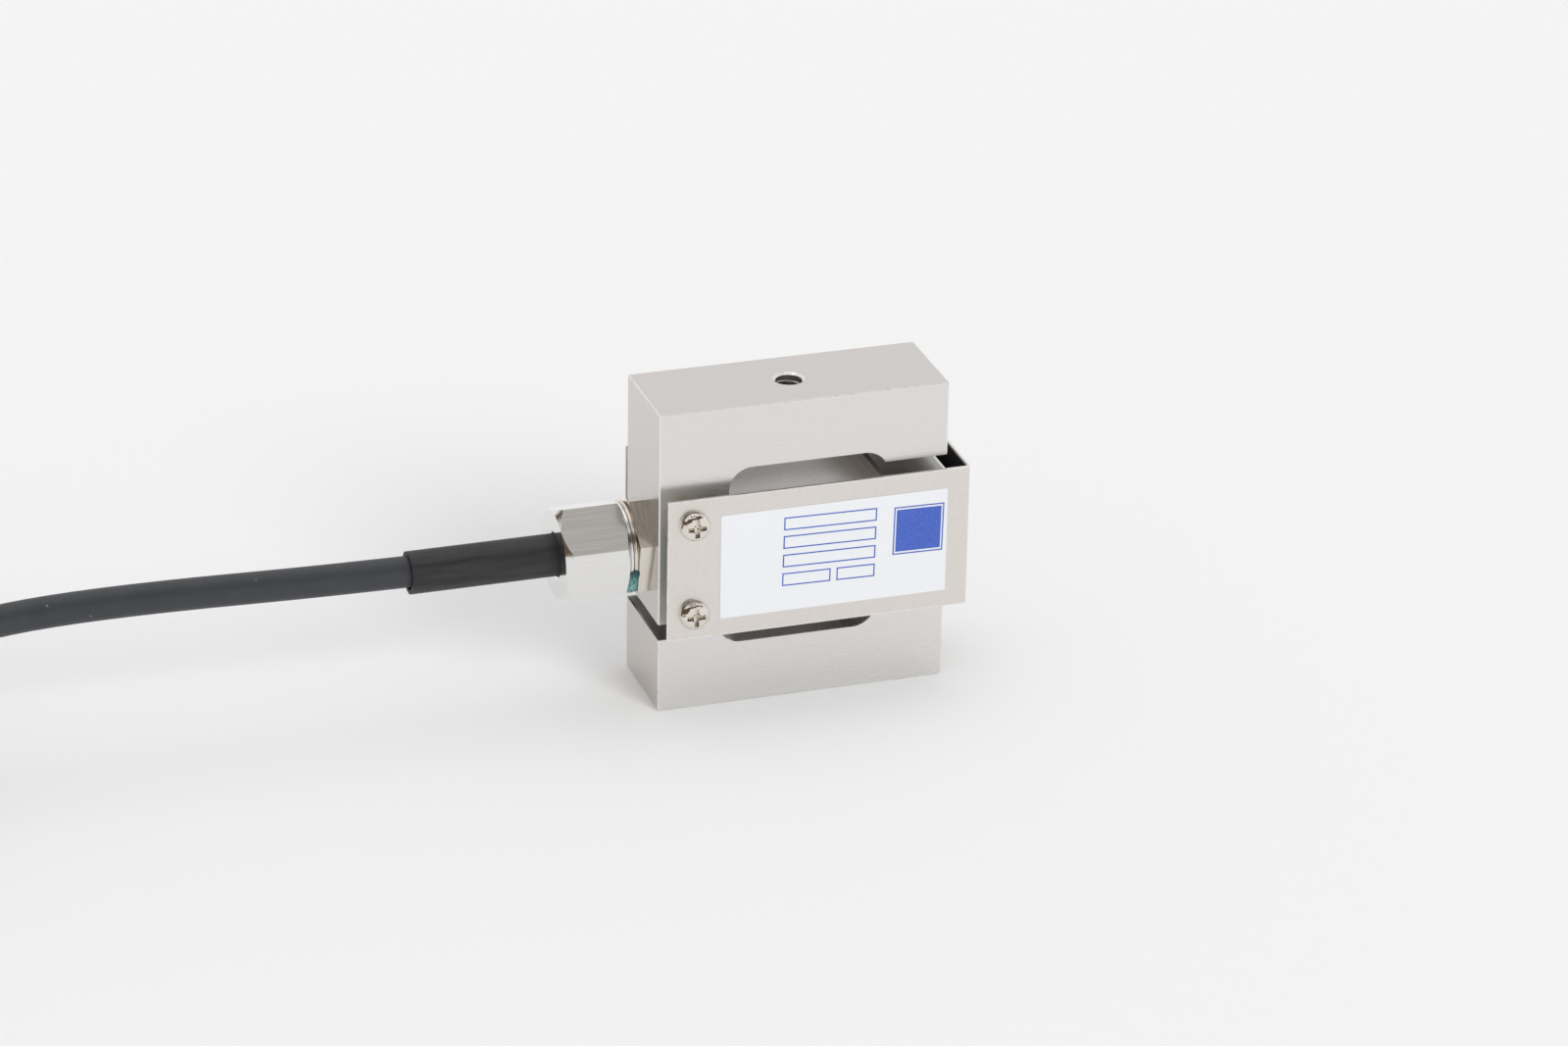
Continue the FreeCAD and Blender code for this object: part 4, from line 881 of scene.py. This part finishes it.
# %% Sleeve and end collar
shrunk, tree, shader, place = material("shrunk_sleeve", (0.030, 0.030, 0.032), 0.58)
skin = noise(tree, place, 1400, 3.0)
smear = place_effect(tree, grain, Position=place, Fineness=(60, 700, 700))["Height"]
tree.links.new(mix(tree, smear, shade(0.012, 0.012, 0.013), shade(0.026, 0.026, 0.028)), shader["Base Color"])
vary(tree, shader["Roughness"], skin, 0.48, 0.68)
bump(tree, shader, skin, 0.00003)
finish(["cable_sleeve", "end_collar"], shrunk)

# %% Cable jacket
jacket, tree, shader, place = material("cable_jacket", (0.040, 0.042, 0.048), 0.50)
fluff = place_effect(tree, specks, Position=place, Spacing=520.0, Share=0.10, Size=0.16)["Mask"]
tone = mix(tree, noise(tree, place, 220), shade(0.024, 0.026, 0.031), shade(0.038, 0.040, 0.046))
tree.links.new(mix(tree, fluff, tone, shade(0.20, 0.20, 0.20)), shader["Base Color"])
vary(tree, shader["Roughness"], noise(tree, place, 900), 0.42, 0.58)
bump(tree, shader, noise(tree, place, 1800), 0.000015)
finish([cable], jacket)

# %% Coats over the gauges
coat, tree, shader, place = material("poured_coat", (0.60, 0.57, 0.54), 0.42, 0.0, Specular_IOR_Level=0.9)
grains = noise(tree, place, 1700, 3.0)
# The coat's tone is almost white, lighter than the grey sealant it is: painted light that makes up for the
# little light reaching into the windows.
tone = mix(tree, ease(tree, grains, 0.3, 0.7), shade(0.84, 0.81, 0.78), shade(0.97, 0.95, 0.93))
xyz = add(tree, "ShaderNodeSeparateXYZ", {0: place}).outputs
# Towards its right end the coat turns brown: painted shade and reflection at its edge, where it meets the
# window's dark wall.
meniscus_shade = ease(tree, xyz["X"], 0.006, 0.0155)
tree.links.new(mix(tree, meniscus_shade, tone, shade(0.30, 0.23, 0.18)), shader["Base Color"])
bump(tree, shader, grains, 0.00004)
finish(["upper_coating", "lower_coating"], coat)


# %% [markdown]
# ### Small parts inside
#
# Under the cover sit spacers, gauges, a terminal board and thin wires. They hardly show, but a
# library part is looked at from every side, so each gets a simple finish with some texture. The
# print, the teal paint, the threads and the drops follow, and then the five colours of the cores.

# %% Small parts


def simple_finish(names, label, first, second, roughness, metal=0.0, scale=1500.0, depth=0.00001):
    """A finish with two tones of noise and a little relief."""
    made, tree, shader, place = material(label, first, roughness, metal)
    pattern = noise(tree, place, scale, 3.0)
    tree.links.new(mix(tree, pattern, shade(*first), shade(*second)), shader["Base Color"])
    vary(tree, shader["Roughness"], pattern, roughness - 0.06, roughness + 0.06)
    bump(tree, shader, pattern, depth)
    finish(names, made)
    return made


simple_finish(["screw_spacers"], "turned_brass", (0.66, 0.54, 0.36), (0.74, 0.63, 0.44), 0.30, 1.0)
simple_finish(["gland_washer"], "washer_brass", (0.70, 0.50, 0.24), (0.78, 0.60, 0.32), 0.30, 1.0)
simple_finish(["gland_seal"], "seal_rubber", (0.03, 0.03, 0.03), (0.05, 0.05, 0.05), 0.6)
simple_finish(["gauge_upper_left", "gauge_upper_right", "gauge_lower_left", "gauge_lower_right"],
              "gauge_film", (0.62, 0.36, 0.12), (0.72, 0.46, 0.18), 0.35)
simple_finish(["terminal_board"], "board_green", (0.14, 0.26, 0.17), (0.20, 0.34, 0.23), 0.45)
simple_finish(["trim_resistors"], "chip_black", (0.02, 0.02, 0.02), (0.05, 0.05, 0.05), 0.45)
simple_finish(["signal_leads"], "lead_plastic", (0.55, 0.05, 0.04), (0.65, 0.08, 0.06), 0.45)
simple_finish(["gauge_leads"], "enamel_wire", (0.60, 0.26, 0.10), (0.70, 0.34, 0.14), 0.35, 1.0)
simple_finish(["hank_ties"], "tie_nylon", (0.02, 0.02, 0.022), (0.04, 0.04, 0.042), 0.45)

# %% Ink, paint, threads and drops
ink, tree, shader, place = material("blue_ink", (0.055, 0.125, 0.52), 0.38)
dots = noise(tree, place, 3800, 2.0)
tree.links.new(mix(tree, ease(tree, dots, 0.35, 0.65), shade(0.035, 0.085, 0.42), shade(0.060, 0.130, 0.51)),
               shader["Base Color"])
finish([label_print], ink)
paint, tree, shader, place = material("teal_paint", (0.02, 0.16, 0.15), 0.30)
xyz = add(tree, "ShaderNodeSeparateXYZ", {0: place}).outputs
worn = place_effect(tree, grain, Position=place, Fineness=(2500, 700, 700))["Height"]
thin = calc(tree, "MULTIPLY", worn, ease(tree, xyz["Z"], 0.0285, 0.0250))
tree.links.new(mix(tree, thin, shade(0.004, 0.045, 0.048), shade(0.26, 0.64, 0.62)), shader["Base Color"])
bump(tree, shader, worn, 0.00002)
finish([torque_mark], paint)
cut_metal = simple_finish([top_thread], "cut_thread", (0.50, 0.49, 0.47), (0.66, 0.65, 0.63), 0.30, 1.0)
finish([bottom_thread], cut_metal)
simple_finish([coat_drops], "clear_drops", (0.62, 0.55, 0.42), (0.80, 0.75, 0.64), 0.22)

# %% Cores in their colours
CORE_COLOURS = {"red": (0.55, 0.03, 0.03), "black": (0.02, 0.02, 0.02), "green": (0.03, 0.28, 0.09),
                "white": (0.75, 0.75, 0.73), "blue": (0.03, 0.12, 0.45)}
cores.data.materials.clear()
for colour_name, colour in CORE_COLOURS.items():
    made, tree, shader, place = material("core_" + colour_name, colour, 0.42)
    pattern = noise(tree, place, 900)
    darker = tuple(0.8 * part for part in colour)
    tree.links.new(mix(tree, pattern, shade(*darker), shade(*colour)), shader["Base Color"])
    cores.data.materials.append(made)
print("core colours", *CORE_COLOURS)
simple_finish([core_tips], "tinned_copper", (0.70, 0.69, 0.67), (0.82, 0.81, 0.80), 0.30, 1.0)
